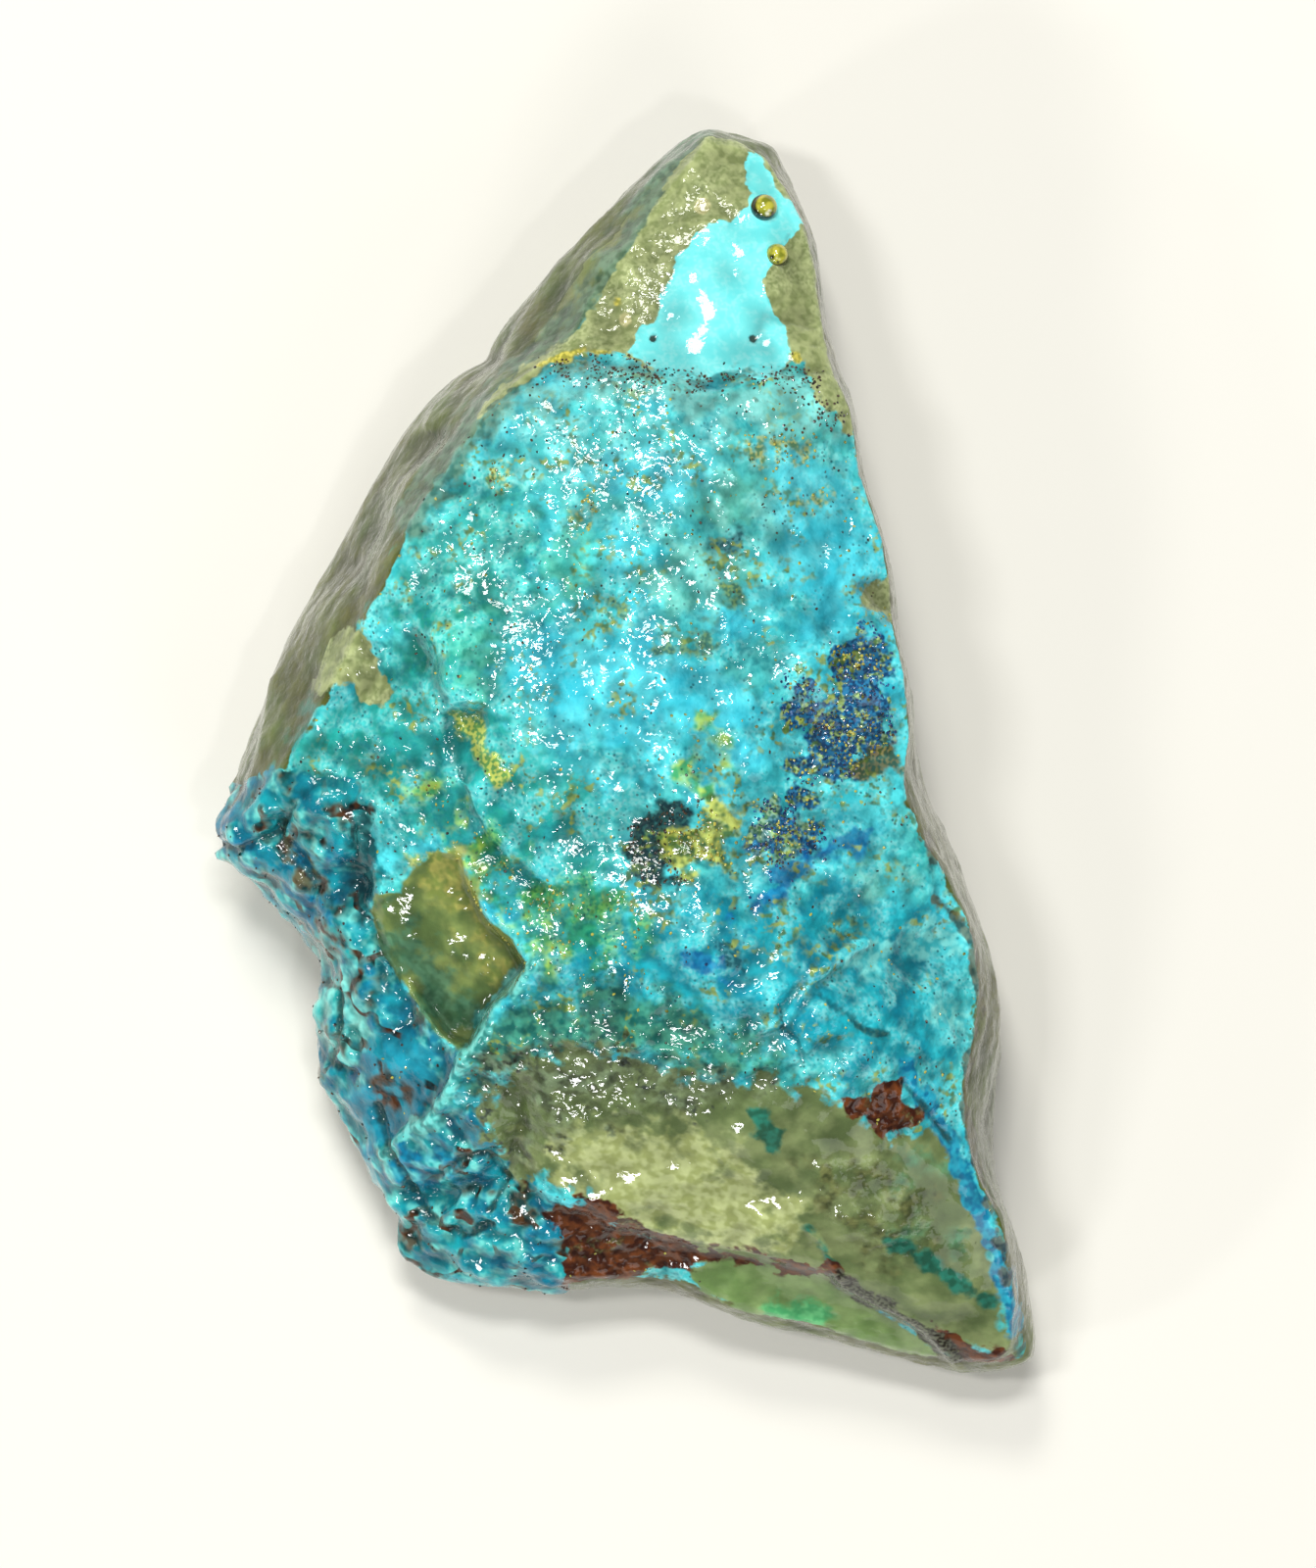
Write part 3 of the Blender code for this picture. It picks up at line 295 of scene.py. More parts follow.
# What each mineral is made up of: outlines, lines and spots, each with how far it reaches beyond its
# own outline (half the width of a line, the radius of a spot)
MINERALS = {
    "upper_crust": {"upper_crust": 0.0},
    "low_crust": {"low_crust": 0.0},
    "left_crust": {"left_crust": 0.0},
    "left_green": {"left_green": 0.0},
    "shore": {"shore": 0.0},
    "sea_green": {"sea_green_a": 0.2, "sea_green_b": 0.2},
    "blue_pool": {"blue_a": 0.2, "blue_b": 0.2, "blue_c": 0.2, "clear_a": 0.0, "clear_b": 0.0},
    "sage": {"sage_a": 0.2, "sage_b": 0.2, "cloud_right": 0.2},
    "green_field": {"green_field": 0.0},
    "green": {"green_a": 0.2, "green_b": 0.2, "yellow_vein": 0.85},
    "gold": {"gold_a": 0.2, "gold_b": 0.2, "gold_c": 0.2, "gold_streak": 0.1},
    "ochre": {"ochre_streak": 0.1, "spot_e": 0.55, "hollow_gold": 0.1},
    "brown": {"brown_blob": 0.1, "brown_cluster": 0.2, "brown_low": 0.1, "olive_blob": 0.1},
    "azurite": {"azurite_main": 0.2, "azurite_small": 0.1, "azurite_low": 0.1, "azurite_dot": 0.1},
    "low_azurite": {"azurite_low": 0.1},
    "bright_blue": {"blue_streak": 0.05, "blue_sheen": 0.1},
    "edge_blue": {"right_blue": 0.48},
    "charcoal": {"charcoal_low": 0.1, "dark_crescent": 0.1},
    "dark_patch": {"dark_patch": 0.1},
    "yellow_patch": {"yellow_patch": 0.1},
    "orange": {"orange_right": 0.1},
    "pale": {"pale_right": 0.2, "pale_low": 0.2, "block": 0.0},
    "grey_band": {"grey_band": 0.0},
    "upper_flank": {"upper_flank": 0.1},
    "bare": {"bare_point": 0.0, "left_bare": 0.1, "olive_notch": 0.1},
    "sky": {"sky_patch": 0.0},
    "granules": {"top_edge": 0.35},
    "yellow_grain": {"spot_b": 0.32, "spot_d": 0.40, "yellow_rim": 0.14},
    "pale_grain": {"spot_a": 0.47, "spot_c": 0.37},
    "pit": {"pit_a": 0.2, "pit_b": 0.2},
    "lobed": {"lobed_corner": 0.0},
    "pale_knobs": {"pale_knobs": 0.1},
    "slab": {"blue_slab": 0.1},
    "brown_ring": {"brown_ring": 0.0},
    "cleft": {"cleft_dark": 0.1},
    "hollow": {"hollow": 0.0},
    "hollow_ochre": {"hollow_ochre": -0.1},
    "hollow_green": {"hollow_green": 0.0},
    "lip": {"lip_line": 0.40},
    "khaki": {"khaki": 0.0},
    "pale_slope": {"pale_slope": 0.2},
    "rough_band": {"rough_band": 0.3},
    "brown_slope": {"brown_slope": 0.2},
    "teal": {"teal_bean": 0.0, "teal_rod": 0.0, "green_thread": 0.14},
    "teal_cloud": {"teal_cloud": 0.1, "green_slope": 0.2},
    "lens": {"lens": 0.0},
    "lens_spot": {"lens_spot": 0.1},
    "red": {"red_corner": 0.1, "red_end": 0.1, "red_diamond": 0.05, "red_line": 0.22},
    "metal": {"metal_vein": 0.38},
    "cyan_drop": {"cyan_drop": 0.1},
    # painted shade along the right seam
    "seam": {"right_seam": 0.18},
    "crack": {"crack_a": 0.02, "crack_b": 0.04, "crack_c": 0.06, "crack_d": 0.16, "crack_e": 0.16,
              "crack_f": 0.12, "crack_g": 0.12},
    "green_band": {"green_band": 0.9},
}
# How wide each line is to either side, and how far the surface rises or sinks along it
LINE_RELIEF = {
    "crack_a": (0.24, -0.12), "crack_b": (0.22, -0.16), "crack_c": (0.24, -0.16),
    "crack_d": (0.50, -0.35), "crack_e": (0.40, -0.30), "crack_f": (0.35, -0.25),
    "crack_g": (0.35, -0.25), "right_seam": (0.35, -0.08), "lip_line": (0.50, 0.25),
    "low_ridge": (0.60, 0.30), "metal_vein": (0.45, 0.20), "green_thread": (0.20, 0.08),
    "groove": (0.70, -0.20), "ridge_a": (0.45, 0.22), "pit_a": (0.30, -0.15), "pit_b": (0.30, -0.15),
}

# Each kind of ground on the face: its outlines, and how softly it begins
GROUNDS = {
    "film": (("sky_patch",), 0.15),
    "point": (("bare_point",), 0.15),
    "lobes": (("lobed_corner",), 0.5),
    "slab": (("blue_slab",), 0.4),
    "hollow": (("hollow",), 0.4),
    "slope": (("khaki", "lens"), 0.4),
    "ragged": (("rough_band", "brown_slope", "red_corner", "red_diamond"), 0.4),
    "druse": (("azurite_main", "azurite_small", "azurite_low", "azurite_dot", "dark_patch",
               "yellow_patch", "red_corner", "red_diamond"), 0.4),
    "rippled": (("wet_pool",), 0.3),
}
SLAB_FLATNESS = 0.75
# How much calmer the wet gloss lies on smooth ground, and how much livelier on rough
CALM = {"film": 0.8, "slope": 0.85, "hollow": 0.8}
LIVELY = {"bare": 0.3, "rippled": 0.5, "ragged": 0.2}

# Patterns that the minerals share: noise, cells, veins or streaks, the size of one lump, its detail,
# and the two levels between which it goes from none to full. "broad" and "mid" are pools of colour
# where copper-rich water stood, "fine" is the size of the crust's own round lumps, and "dots" is the
# spacing of single dark grains. Chrysocolla's fibres are about 0.02 mm across, too fine to show, so
# "grain" draws them at 0.20 mm.
PATTERNS = {
    "broad": ("NOISE", 5.5, 2.0, 0.42, 0.62),
    "broad_b": ("NOISE", 4.2, 2.0, 0.44, 0.62),
    "mid": ("NOISE", 1.9, 3.0, 0.36, 0.66),
    "mid_b": ("NOISE", 1.3, 2.0, 0.42, 0.64),
    "fine": ("NOISE", 0.55, 1.0, 0.36, 0.64),
    "fine_b": ("NOISE", 0.42, 1.0, 0.48, 0.68),
    "grain": ("NOISE", 0.20, 0.0, 0.36, 0.64),
    "edge": ("NOISE", 1.3, 3.0, 0.25, 0.75),
    "wet": ("NOISE", 0.90, 0.0, 0.25, 0.75),
    "clusters": ("NOISE", 2.6, 1.0, 0.52, 0.64),
    "dots": ("CELLS", 0.38, 0.0, 0.26, 0.14),
    "veins": ("VEINS", 3.8, 2.0, 0.036, 0.022),
    "streaks": ("STREAKS", 0.9, 2.0, 0.42, 0.62),
}
# Patterns that show only where two others do
CLUSTERED = {
    "flecks": ("fine_b", "clusters"),
    "strewn_dots": ("dots", "mid_b"),
    "broken_veins": ("veins", "mid_b"),
    "blotches": ("mid_b", "clusters"),
}
# A noise runs round this value, and a vein is where it crosses it
NOISE_MIDDLE = 0.5
# A smooth step holds itself between its ends, so the node's own clamp stays off
SMOOTH = {"interpolation_type": "SMOOTHSTEP", "clamp": False}
# Streaks on the left flank run along its upper edge: their heading and how long they are for their width
STREAK_HEADING = math.atan2(0.85, 0.53)
STREAK_LENGTH = 9.0
# Each pattern is taken this much further along the noise, so that no two look alike
PATTERN_DRIFT = 37.0
TURN = 2.0 * math.pi

# The minerals in the order they lie over each other: which, how ragged and how soft its edge is, two
# colours, the pattern between them, the most of it that covers, and what breaks it up, if anything does
LAYERS = (
    # the broken sides: olive jasper with grey-green bands, iron stain and thin pale scratches
    ("face", 0.0, 0.5, "#404B1C", "#59642E", "mid", 1.0),
    ("everywhere", 0.0, 0.5, "#334822", "#4E6134", "streaks", 0.6, "broad"),
    ("everywhere", 0.0, 0.5, "#464016", "#5F5926", "fine", 0.5, "broad_b"),
    ("everywhere", 0.0, 0.5, "#404E30", "#7A8766", "streaks", 0.14, "mid_b"),
    # the crust of chrysocolla: pale blue-green above, deeper to the left and lowest down
    ("face", 0.35, 0.10, "#2AA0A8", "#4ED0D8", "mid", 1.0),
    ("face", 0.35, 0.10, "#1890AE", "#3ABCD2", "fine", 0.55, "broad"),
    ("face", 0.35, 0.10, "#2A9886", "#5CC4B0", "fine", 0.45, "broad_b"),
    ("upper_crust", 1.6, 1.6, "#44A49E", "#88D8D2", "mid_b", 0.6),
    ("low_crust", 1.6, 1.6, "#04798E", "#14A4B3", "mid", 0.95),
    ("left_crust", 1.6, 1.6, "#027064", "#109489", "mid", 0.8),
    ("left_green", 1.6, 1.4, "#1C8A74", "#44B496", "mid_b", 0.6),
    ("face", 0.35, 0.10, "#5CE0E0", "#98F4F0", "grain", 0.45, "mid_b"),
    ("face", 0.35, 0.10, "#147482", "#228A94", "grain", 0.45, "fine_b"),
    ("sea_green", 0.9, 0.8, "#34A08A", "#5CC8AE", "fine", 0.7),
    ("blue_pool", 1.4, 1.0, "#2CB2C8", "#54D2E2", "mid", 0.65),
    ("sage", 1.3, 1.0, "#4F9A82", "#7CCAB6", "mid_b", 0.6),
    ("charcoal", 0.4, 0.25, "#0E3440", "#2E6870", "grain", 0.85),
    ("green_field", 1.5, 0.8, "#055E32", "#21844C", "fine", 0.85, "mid"),
    ("green_field", 1.2, 0.8, "#2F7B21", "#66A829", "grain", 0.6, "mid_b"),
    ("green", 0.8, 0.5, "#3C9A54", "#A8CC4C", "fine", 0.9, "mid_b"),
    ("ochre", 0.6, 0.3, "#6C9C44", "#CCD458", "grain", 0.85),
    ("gold", 0.6, 0.25, "#5A7834", "#B2B04C", "grain", 0.85, "fine"),
    ("brown", 0.5, 0.25, "#3A5836", "#6C8A4C", "grain", 0.8, "fine"),
    ("shore", 1.3, 1.0, "#0E4A36", "#3C8466", "fine", 0.85),
    # azurite, copper pitch and limonite round the middle of the right edge
    ("azurite", 0.7, 0.22, "#062C5C", "#1C6A98", "grain", 0.95),
    ("azurite", 0.9, 0.25, "#4E7440", "#A4C078", "grain", 0.95, "fine_b"),
    ("low_azurite", 0.6, 0.25, "#4A8454", "#9CC488", "grain", 0.75, "mid_b"),
    ("bright_blue", 0.8, 0.35, "#04508C", "#1880B4", "fine", 0.78),
    ("dark_patch", 0.5, 0.22, "#08222A", "#1E4644", "grain", 0.96),
    ("yellow_patch", 0.7, 0.3, "#42601E", "#B4BC50", "fine", 0.92),
    ("orange", 0.6, 0.25, "#3C4C28", "#7C6C34", "grain", 0.85),
    ("pale", 0.5, 0.35, "#40C4CC", "#8CF2EC", "fine", 0.75),
    # dark granules and gold flecks that are strewn all over the crust
    ("face", 0.35, 0.10, "#4E7034", "#98A848", "fine", 0.85, "flecks"),
    ("face", 0.35, 0.10, "#12383F", "#215A66", "grain", 0.7, "strewn_dots"),
    # the bare point above the crust and the film of bright blue on it
    ("grey_band", 0.9, 0.7, "#5C9486", "#86CEC4", "mid", 0.6),
    ("upper_flank", 0.25, 0.12, "#66713F", "#868F58", "mid", 1.0),
    ("green_band", 0.6, 0.5, "#3C5C4C", "#648470", "fine", 0.8),
    ("bare", 0.35, 0.10, "#7E8A58", "#9EA874", "fine", 1.0),
    ("bare", 0.35, 0.10, "#6E7C50", "#B8C290", "grain", 0.35, "mid"),
    ("sky", 0.22, 0.05, "#6CE2E4", "#7CEEEE", "mid", 1.0),
    ("sky", 0.10, 0.10, "#84EEEC", "#ACF8F6", "grain", 0.4, "fine"),
    ("granules", 0.9, 0.35, "#2E443C", "#6E8468", "grain", 0.6, "fine_b"),
    ("yellow_grain", 0.25, 0.10, "#A09C38", "#D8CC54", "grain", 0.85),
    ("pale_grain", 0.12, 0.08, "#B4B07C", "#D2CE98", "grain", 0.8),
    ("pit", 0.05, 0.05, "#2A2A1C", "#3A3826", "grain", 0.9),
    # the lobed corner: bright lumps with deep blue between them and thin brown veins
    ("lobed", 0.6, 0.15, "#006074", "#10949E", "mid", 1.0),
    ("lobed", 0.6, 0.15, "#00446A", "#00749C", "fine", 0.72, "broad"),
    ("lobed", 0.6, 0.15, "#20A4A4", "#78E0D2", "fine", 0.68, "mid_b"),
    ("pale_knobs", 0.6, 0.35, "#1C9C98", "#84E0D4", "mid_b", 0.85, "mid"),
    ("slab", 0.5, 0.30, "#046C84", "#1890A8", "mid", 0.9),
    ("lobed", 0.6, 0.15, "#0A100C", "#4C2A10", "fine", 1.0, "broken_veins"),
    ("lobed", 0.6, 0.15, "#0C1A14", "#4A3014", "fine", 0.92, "blotches"),
    ("brown_ring", 0.5, 0.25, "#3A2418", "#5C6048", "fine", 0.7, "mid_b"),
    ("cleft", 0.4, 0.30, "#0A3438", "#18585C", "fine", 0.85),
    # the smooth hollow
    ("hollow", 0.15, 0.10, "#556B3A", "#819150", "mid", 1.0),
    ("hollow_ochre", 1.2, 0.7, "#78883C", "#B0AC58", "fine", 0.7),
    ("hollow_green", 1.2, 0.9, "#225A46", "#467C62", "fine", 0.75),
    ("lip", 0.4, 0.15, "#2A807C", "#68C8C0", "fine", 0.85),
    # the lower slope of bare rock
    ("khaki", 0.7, 0.25, "#596A3F", "#7F8D5C", "mid", 1.0),
    ("pale_slope", 1.4, 1.0, "#9CA666", "#BCC68A", "fine", 0.92),
    ("rough_band", 1.2, 0.5, "#222E24", "#6B7E61", "fine", 0.85, "mid"),
    ("rough_band", 0.9, 0.4, "#0E1215", "#2F3839", "grain", 0.85, "flecks"),
    ("brown_slope", 1.2, 0.8, "#3A3F20", "#696D3F", "fine", 0.85, "mid_b"),
    ("teal_cloud", 0.9, 0.5, "#226348", "#3C8968", "fine", 0.7, "mid"),
    ("teal", 0.35, 0.20, "#055040", "#197563", "fine", 0.9),
    ("lens", 0.25, 0.10, "#67854A", "#829C61", "mid", 1.0),
    ("lens_spot", 0.7, 0.5, "#379F65", "#61C17F", "fine", 0.8),
    ("edge_blue", 0.35, 0.15, "#046890", "#1E9CB8", "fine", 0.92),
    # red jasper, the dark metallic vein, the seam with painted shade along its crack, and cracks
    ("red", 0.5, 0.12, "#371405", "#673616", "fine", 1.0),
    ("red", 0.5, 0.12, "#464C2C", "#74774A", "grain", 0.55, "flecks"),
    ("metal", 0.3, 0.10, "#1A1B14", "#55594A", "grain", 0.95),
    ("cyan_drop", 0.2, 0.12, "#1D564E", "#359A92", "fine", 1.0),
    # Painted shade: the seam's brown line stands for the shade down in its crack
    ("seam", 0.35, 0.12, "#34301F", "#625C40", "fine", 0.8),
    ("crack", 0.25, 0.10, "#143C40", "#3A5A4C", "grain", 0.7),
)

# The relief on each kind of ground: the ground, the pattern, the size of one lump and its height
RELIEFS = (
    ("crust", "NOISE", 2.6, 0.55),
    ("crust", "NOISE", 1.1, 0.14),
    ("crust", "CELLS", 0.9, 0.09),
    ("film", "NOISE", 1.2, 0.02),
    ("knobs", "NOISE", 3.0, 1.20),
    ("knobs", "CELLS", 1.8, 0.50),
    ("knobs", "NOISE", 0.8, 0.14),
    ("ragged", "NOISE", 1.5, 0.26),
    ("ragged", "CELLS", 0.8, 0.12),
    ("druse", "CELLS", 0.55, 0.22),
    ("slope", "NOISE", 3.0, 0.30),
    ("slope", "NOISE", 0.9, 0.10),
    ("bare", "NOISE", 1.6, 0.14),
    ("bare", "CELLS", 0.7, 0.06),
    ("flank", "STREAKS", 1.1, 0.28),
    ("flank", "NOISE", 2.4, 0.28),
    ("flank", "NOISE", 0.8, 0.08),
)
# Cells of the relief sway by CELL_SWAY along a noise with this many lumps to the millimetre, because a
# real lump has no straight side, and they run softly into each other
SWAY_LUMPS_PER_MM = 0.6
CELL_SWAY = 1.6
CELL_SOFTNESS = 0.35
RELIEF_DETAIL = 2.0
RELIEF_ROUGHNESS = 0.5
# Painted shade and painted highlight: hollows are painted darker and high spots paler. The rounds of
# smoothing that find them, the depth that counts as full, and how bright a high spot and a hollow are
PAINTED_HOLLOW_SHADE = (
    ("fine_painted_shade", 6, 0.05, 1.20, 0.60),
    ("broad_painted_shade", 60, 0.35, 1.06, 0.88),
)

# Quartz-rich rock: how rough the stone is between smooth and coarse grain, and the height of its
# grain. The wet film over it is smooth, bends light a little more than water, and lies in low swells
# with finer ones on the lumps. CALMEST is the share of all of it that is left on calm ground.
ROCK_IOR = 1.5
ROCK_ROUGHNESS = (0.38, 0.62)
ROCK_SPECULAR = 0.10
ROCK_GRAIN = (("fine", 0.018), ("grain", 0.010))
FILM_IOR = 1.39
FILM_ROUGHNESS = 0.05
FILM_SWELL = (("wet", 0.042), ("fine", 0.014), ("fine_b", 0.008))
CALMEST = 0.15

# Grains that stand up from the face: name, two colours, where (mineral, how far beyond it, how thick),
# how many on a square millimetre, the smallest and largest across, and the size of their clusters.
# Copper pitch ore grew as black-brown beads with a resin gleam, azurite as deep blue glassy crystals,
# and limonite as ochre crumbs of rust.
GRAINS = (
    ("pitch_granules", "#0C0E0E", "#4A3420",
     (("granules", 0.8, 0.6), ("dark_patch", 0.2, 0.5), ("upper_crust", 0.5, 0.03), ("crust", 0.3, 0.012),
      ("azurite", 0.1, 0.15), ("lobed", 0.1, 0.02)), 38.0, 0.06, 0.24, 0.8),
    ("azurite_grains", "#062452", "#1A5890",
     (("azurite", 0.4, 1.0), ("bright_blue", 0.1, 0.2)), 16.0, 0.07, 0.26, 0.9),
    ("limonite_grains", "#5E6220", "#BCB44C",
     (("azurite", 0.3, 0.6), ("yellow_patch", 0.2, 1.0), ("gold", 0.4, 0.55), ("upper_crust", 0.3, 0.045),
      ("green_field", 0.2, 0.25), ("green", 0.3, 0.2), ("crust", 0.3, 0.03)), 20.0, 0.06, 0.24, 1.1),
)
GRAIN_MOTTLE = 0.5
GRAIN_ROUGHNESS = 0.30
CLUSTER_LEVELS = (0.44, 0.60)
# The beads by the point: name, place, radius, then the clear olive disc in it, outside which a dark rim
# is painted as shade, and the dark marks and the bright marks, which are painted glints, on it, by place
# and radius, all in shares of the bead's radius seen from above
NODULES = (
    ("upper_nodule", (7.5, 29.5), 0.74, (0.22, 0.16, 0.74),
     ((0.66, -0.50, 0.22), (0.10, -0.84, 0.16)), ((0.42, -0.28, 0.15), (0.26, -0.52, 0.17))),
    ("lower_nodule", (8.2, 26.9), 0.63, (0.02, 0.14, 0.88),
     ((-0.42, -0.22, 0.26), (0.08, -0.66, 0.20)), ((-0.06, -0.36, 0.10),)),
)
NODULE_SHOWING = 0.08
NODULE_TOP = (-0.15, 0.25)
NODULE_OLIVES = ("#7E8424", "#C2BE44")
# The dark colour also paints the shade at the rim, and the bright one paints glints
NODULE_MARKS = (("dark", "#14180A"), ("bright", "#F4F4E0"))
NODULE_MOTTLE = 0.5
NODULE_ROUGHNESS = 0.12
MARK_SOFTNESS = 0.12
# Hard wet minerals: typical of quartz and its like, under a film of water with salts in it
MINERAL_LEVELS = (0.36, 0.64)
MINERAL_IOR = 1.5
MINERAL_FILM_ROUGHNESS = 0.06
MINERAL_FILM_IOR = 1.45
# Higher than anything on the stone
OVERHEAD = 100.0

# The floor: matt card, pressed and uncoated, so it has no gleam
FLOOR_REACH = 1500.0
CARD = "#E4E2DA"
CARD_ROUGHNESS = 0.9
ROOM = "#F2F2EE"
ROOM_STRENGTH = 0.14
# Each light: name, place, width and height, power in watts, warmth. The softboxes fill, and the small
# lamps stand where the crust, the left side, the lower end, the slope and the lobes mirror them, so
# that each of these glints.
LIGHTS = (
    ("softbox_above", (-90.0, 415.0, 530.0), (150.0, 110.0), 1.50, "#FFFDF6"),
    ("softbox_front", (260.0, -420.0, 420.0), (300.0, 300.0), 0.60, "#FFFFFF"),
    ("lamp_above", (0.0, 190.0, 535.0), (150.0, 66.0), 1.40, "#FFFFFF"),
    ("lamp_left", (-185.0, 50.0, 525.0), (46.0, 96.0), 0.76, "#FFFFFF"),
    ("lamp_low", (110.0, -130.0, 540.0), (50.0, 28.0), 0.27, "#FFFFFF"),
    ("lamp_front", (-200.0, -480.0, 280.0), (100.0, 60.0), 0.80, "#FFFFFF"),
    ("lamp_side", (-400.0, -190.0, 270.0), (50.0, 44.0), 0.30, "#FFFFFF"),
)
LIGHTS_AIM = (0.0, 0.0, 10.0)


def add(tree, kind, settings=None, inputs=None):
    """Add a node. Settings are its properties; inputs are values, sockets or nodes, by name or number."""
    node = tree.nodes.new(kind)
    for name, value in (settings or {}).items():
        setattr(node, name, value)
    for name, value in (inputs or {}).items():
        if isinstance(value, bpy.types.Node):
            value = value.outputs[0]
        if isinstance(value, bpy.types.NodeSocket):
            tree.links.new(value, node.inputs[name])
        else:
            node.inputs[name].default_value = value
    return node


def colour(code):
    """An sRGB hex value as linear red, green, blue and alpha, by the standard's own curve."""
    parts = [int(code[index:index + 2], 16) / 255.0 for index in (1, 3, 5)]
    linear = [part / 12.92 if part <= 0.04045 else ((part + 0.055) / 1.055) ** 2.4 for part in parts]
    return (*linear, 1.0)


def put_in_scene(name, data):
    """A new object in the scene that holds this data."""
    thing = bpy.data.objects.new(name, data)
    bpy.context.scene.collection.objects.link(thing)
    return thing


def mesh_from(name, bm):
    """A new mesh from what was built, which is then done with."""
    mesh = bpy.data.meshes.new(name)
    bm.to_mesh(mesh)
    bm.free()
    return mesh


def new_material(name):
    """A new material that is made of nodes."""
    material = bpy.data.materials.new(name)
    material.use_nodes = True
    return material


def line_distance(spots, line):
    """Distance of each spot to an open line of points, or to a single point."""
    best = np.full(len(spots), np.inf)
    for start, end in zip(line, line[1:] or line):
        start, along = np.array(start, dtype=float), np.array(end, dtype=float) - np.array(start)
        share = np.clip((spots - start) @ along / max(along @ along, 1e-9), 0.0, 1.0)
        best = np.minimum(best, np.hypot(*(spots - start - share[:, None] * along).T))
    return best


def depth_inside(spots, outline):
    """Distance of each spot to a closed outline, positive inside it."""
    inside = np.zeros(len(spots), dtype=bool)
    for (ax, ay), (bx, by) in zip(outline, outline[1:] + outline[:1]):
        if ay != by:
            crosses = (spots[:, 1] < ay) != (spots[:, 1] < by)
            inside ^= crosses & (spots[:, 0] < ax + (spots[:, 1] - ay) / (by - ay) * (bx - ax))
    gap = line_distance(spots, outline + outline[:1])
    return np.where(inside, gap, -gap)


def depth_near(spots, name):
    """How deep each spot lies in an outline, or how far off a line or spot, within FAR of it."""
    shape = AREAS.get(name) or LINES.get(name) or [SPOTS[name]]
    corners = np.array(shape)
    near = np.all((spots > corners.min(axis=0) - FAR) & (spots < corners.max(axis=0) + FAR), axis=1)
    depth = np.full(len(spots), -FAR)
    found = depth_inside(spots[near], shape) if name in AREAS else -line_distance(spots[near], shape)
    depth[near] = np.maximum(found, -FAR)
    return depth


def ease(values, low, high):
    """0 below low, 1 above high and a smooth step between."""
    share = np.clip((values - low) / (high - low), 0.0, 1.0)
    return share * share * (3.0 - 2.0 * share)


def set_attribute(mesh, name, values):
    """Store one number for each vertex."""
    layer = mesh.attributes.new(name, "FLOAT", "POINT")
    layer.data.foreach_set("value", np.asarray(values, dtype=np.float32))


def get_attribute(mesh, name):
    """The number that is stored for each vertex."""
    values = np.empty(len(mesh.vertices), dtype=np.float32)
    mesh.attributes[name].data.foreach_get("value", values)
    return values


def points_mm(mesh):
    """Where each vertex is, in millimetres."""
    points = np.empty(len(mesh.vertices) * 3, dtype=np.float32)
    mesh.vertices.foreach_get("co", points)
    return points.reshape(-1, 3).astype(float) / MM


def set_points(mesh, points):
    """Move the vertices to these places, in millimetres."""
    mesh.vertices.foreach_set("co", (points * MM).astype(np.float32).ravel())
    mesh.update()


def normals_of(mesh):
    """The outward direction at each vertex."""
    normals = np.empty(len(mesh.vertices) * 3, dtype=np.float32)
    mesh.vertex_normals.foreach_get("vector", normals)
    return normals.reshape(-1, 3).astype(float)


def edge_pairs(mesh):
    """The two vertices of each edge."""
    pairs = np.empty(len(mesh.edges) * 2, dtype=np.int32)
    mesh.edges.foreach_get("vertices", pairs)
    return pairs.reshape(-1, 2)


def neighbour_mean(values, pairs):
    """The mean of each vertex's neighbours."""
    ends = np.concatenate((pairs[:, 0], pairs[:, 1]))
    others = np.concatenate((pairs[:, 1], pairs[:, 0]))
    columns = [np.bincount(ends, weights=values[others, axis], minlength=len(values))
               for axis in range(values.shape[1])]
    return np.stack(columns, axis=1) / np.bincount(ends, minlength=len(values))[:, None]


def split_long_edges(bm):
    """Halve long edges until the surface is as fine as its region needs."""
    for _ in range(SPLIT_ROUNDS):
        middles = np.array([[*(edge.verts[0].co + edge.verts[1].co)] for edge in bm.edges]) * 0.5 / MM
        on_face = depth_inside(middles[:, :2], CREST) > -FACE_MARGIN
        limits = np.where(middles[:, 2] < BACK_TOP, BACK_EDGE, np.where(on_face, FACE_EDGE, SIDE_EDGE))
        long_edges = [edge for edge, limit in zip(bm.edges, limits * MM) if edge.calc_length() > limit]
        if not long_edges:
            return
        bmesh.ops.subdivide_edges(bm, edges=long_edges, cuts=1)
        bmesh.ops.triangulate(bm, faces=[face for face in bm.faces if len(face.verts) > 3])


def fine_stone(node):
    """A fine copy of the stone's solid, with its facets relaxed and its broken edges kept."""
    bm = bmesh.new()
    bm.from_mesh(node.data)
    bmesh.ops.remove_doubles(bm, verts=bm.verts, dist=MERGE_METRES)
    for edge in bm.edges:
        edge.smooth = not (edge.is_manifold and edge.calc_face_angle() > SHARP_ANGLE)
    split_long_edges(bm)
    freedom = np.array([SHARP_FREEDOM if any(not edge.smooth for edge in vert.link_edges) else 1.0
                        for vert in bm.verts])
    for edge in bm.edges:
        edge.smooth = True
    mesh = mesh_from("broken_stone", bm)
    pairs = edge_pairs(mesh)
    points = points_mm(mesh)
    resting = points[:, 2] < RESTING_TOP
    for _ in range(RELAX_ROUNDS):
        moved = points + RELAX_SHARE * freedom[:, None] * (neighbour_mean(points, pairs) - points)
        points[~resting] = moved[~resting]
    set_points(mesh, points)
    mesh.shade_smooth()
    return mesh


def smoothed(values, pairs, rounds):
    """Values at the vertices, drawn towards their neighbours' mean again and again."""
    for _ in range(rounds):
        values = (1.0 - RELAX_SHARE) * values + RELAX_SHARE * neighbour_mean(values, pairs)
    return values


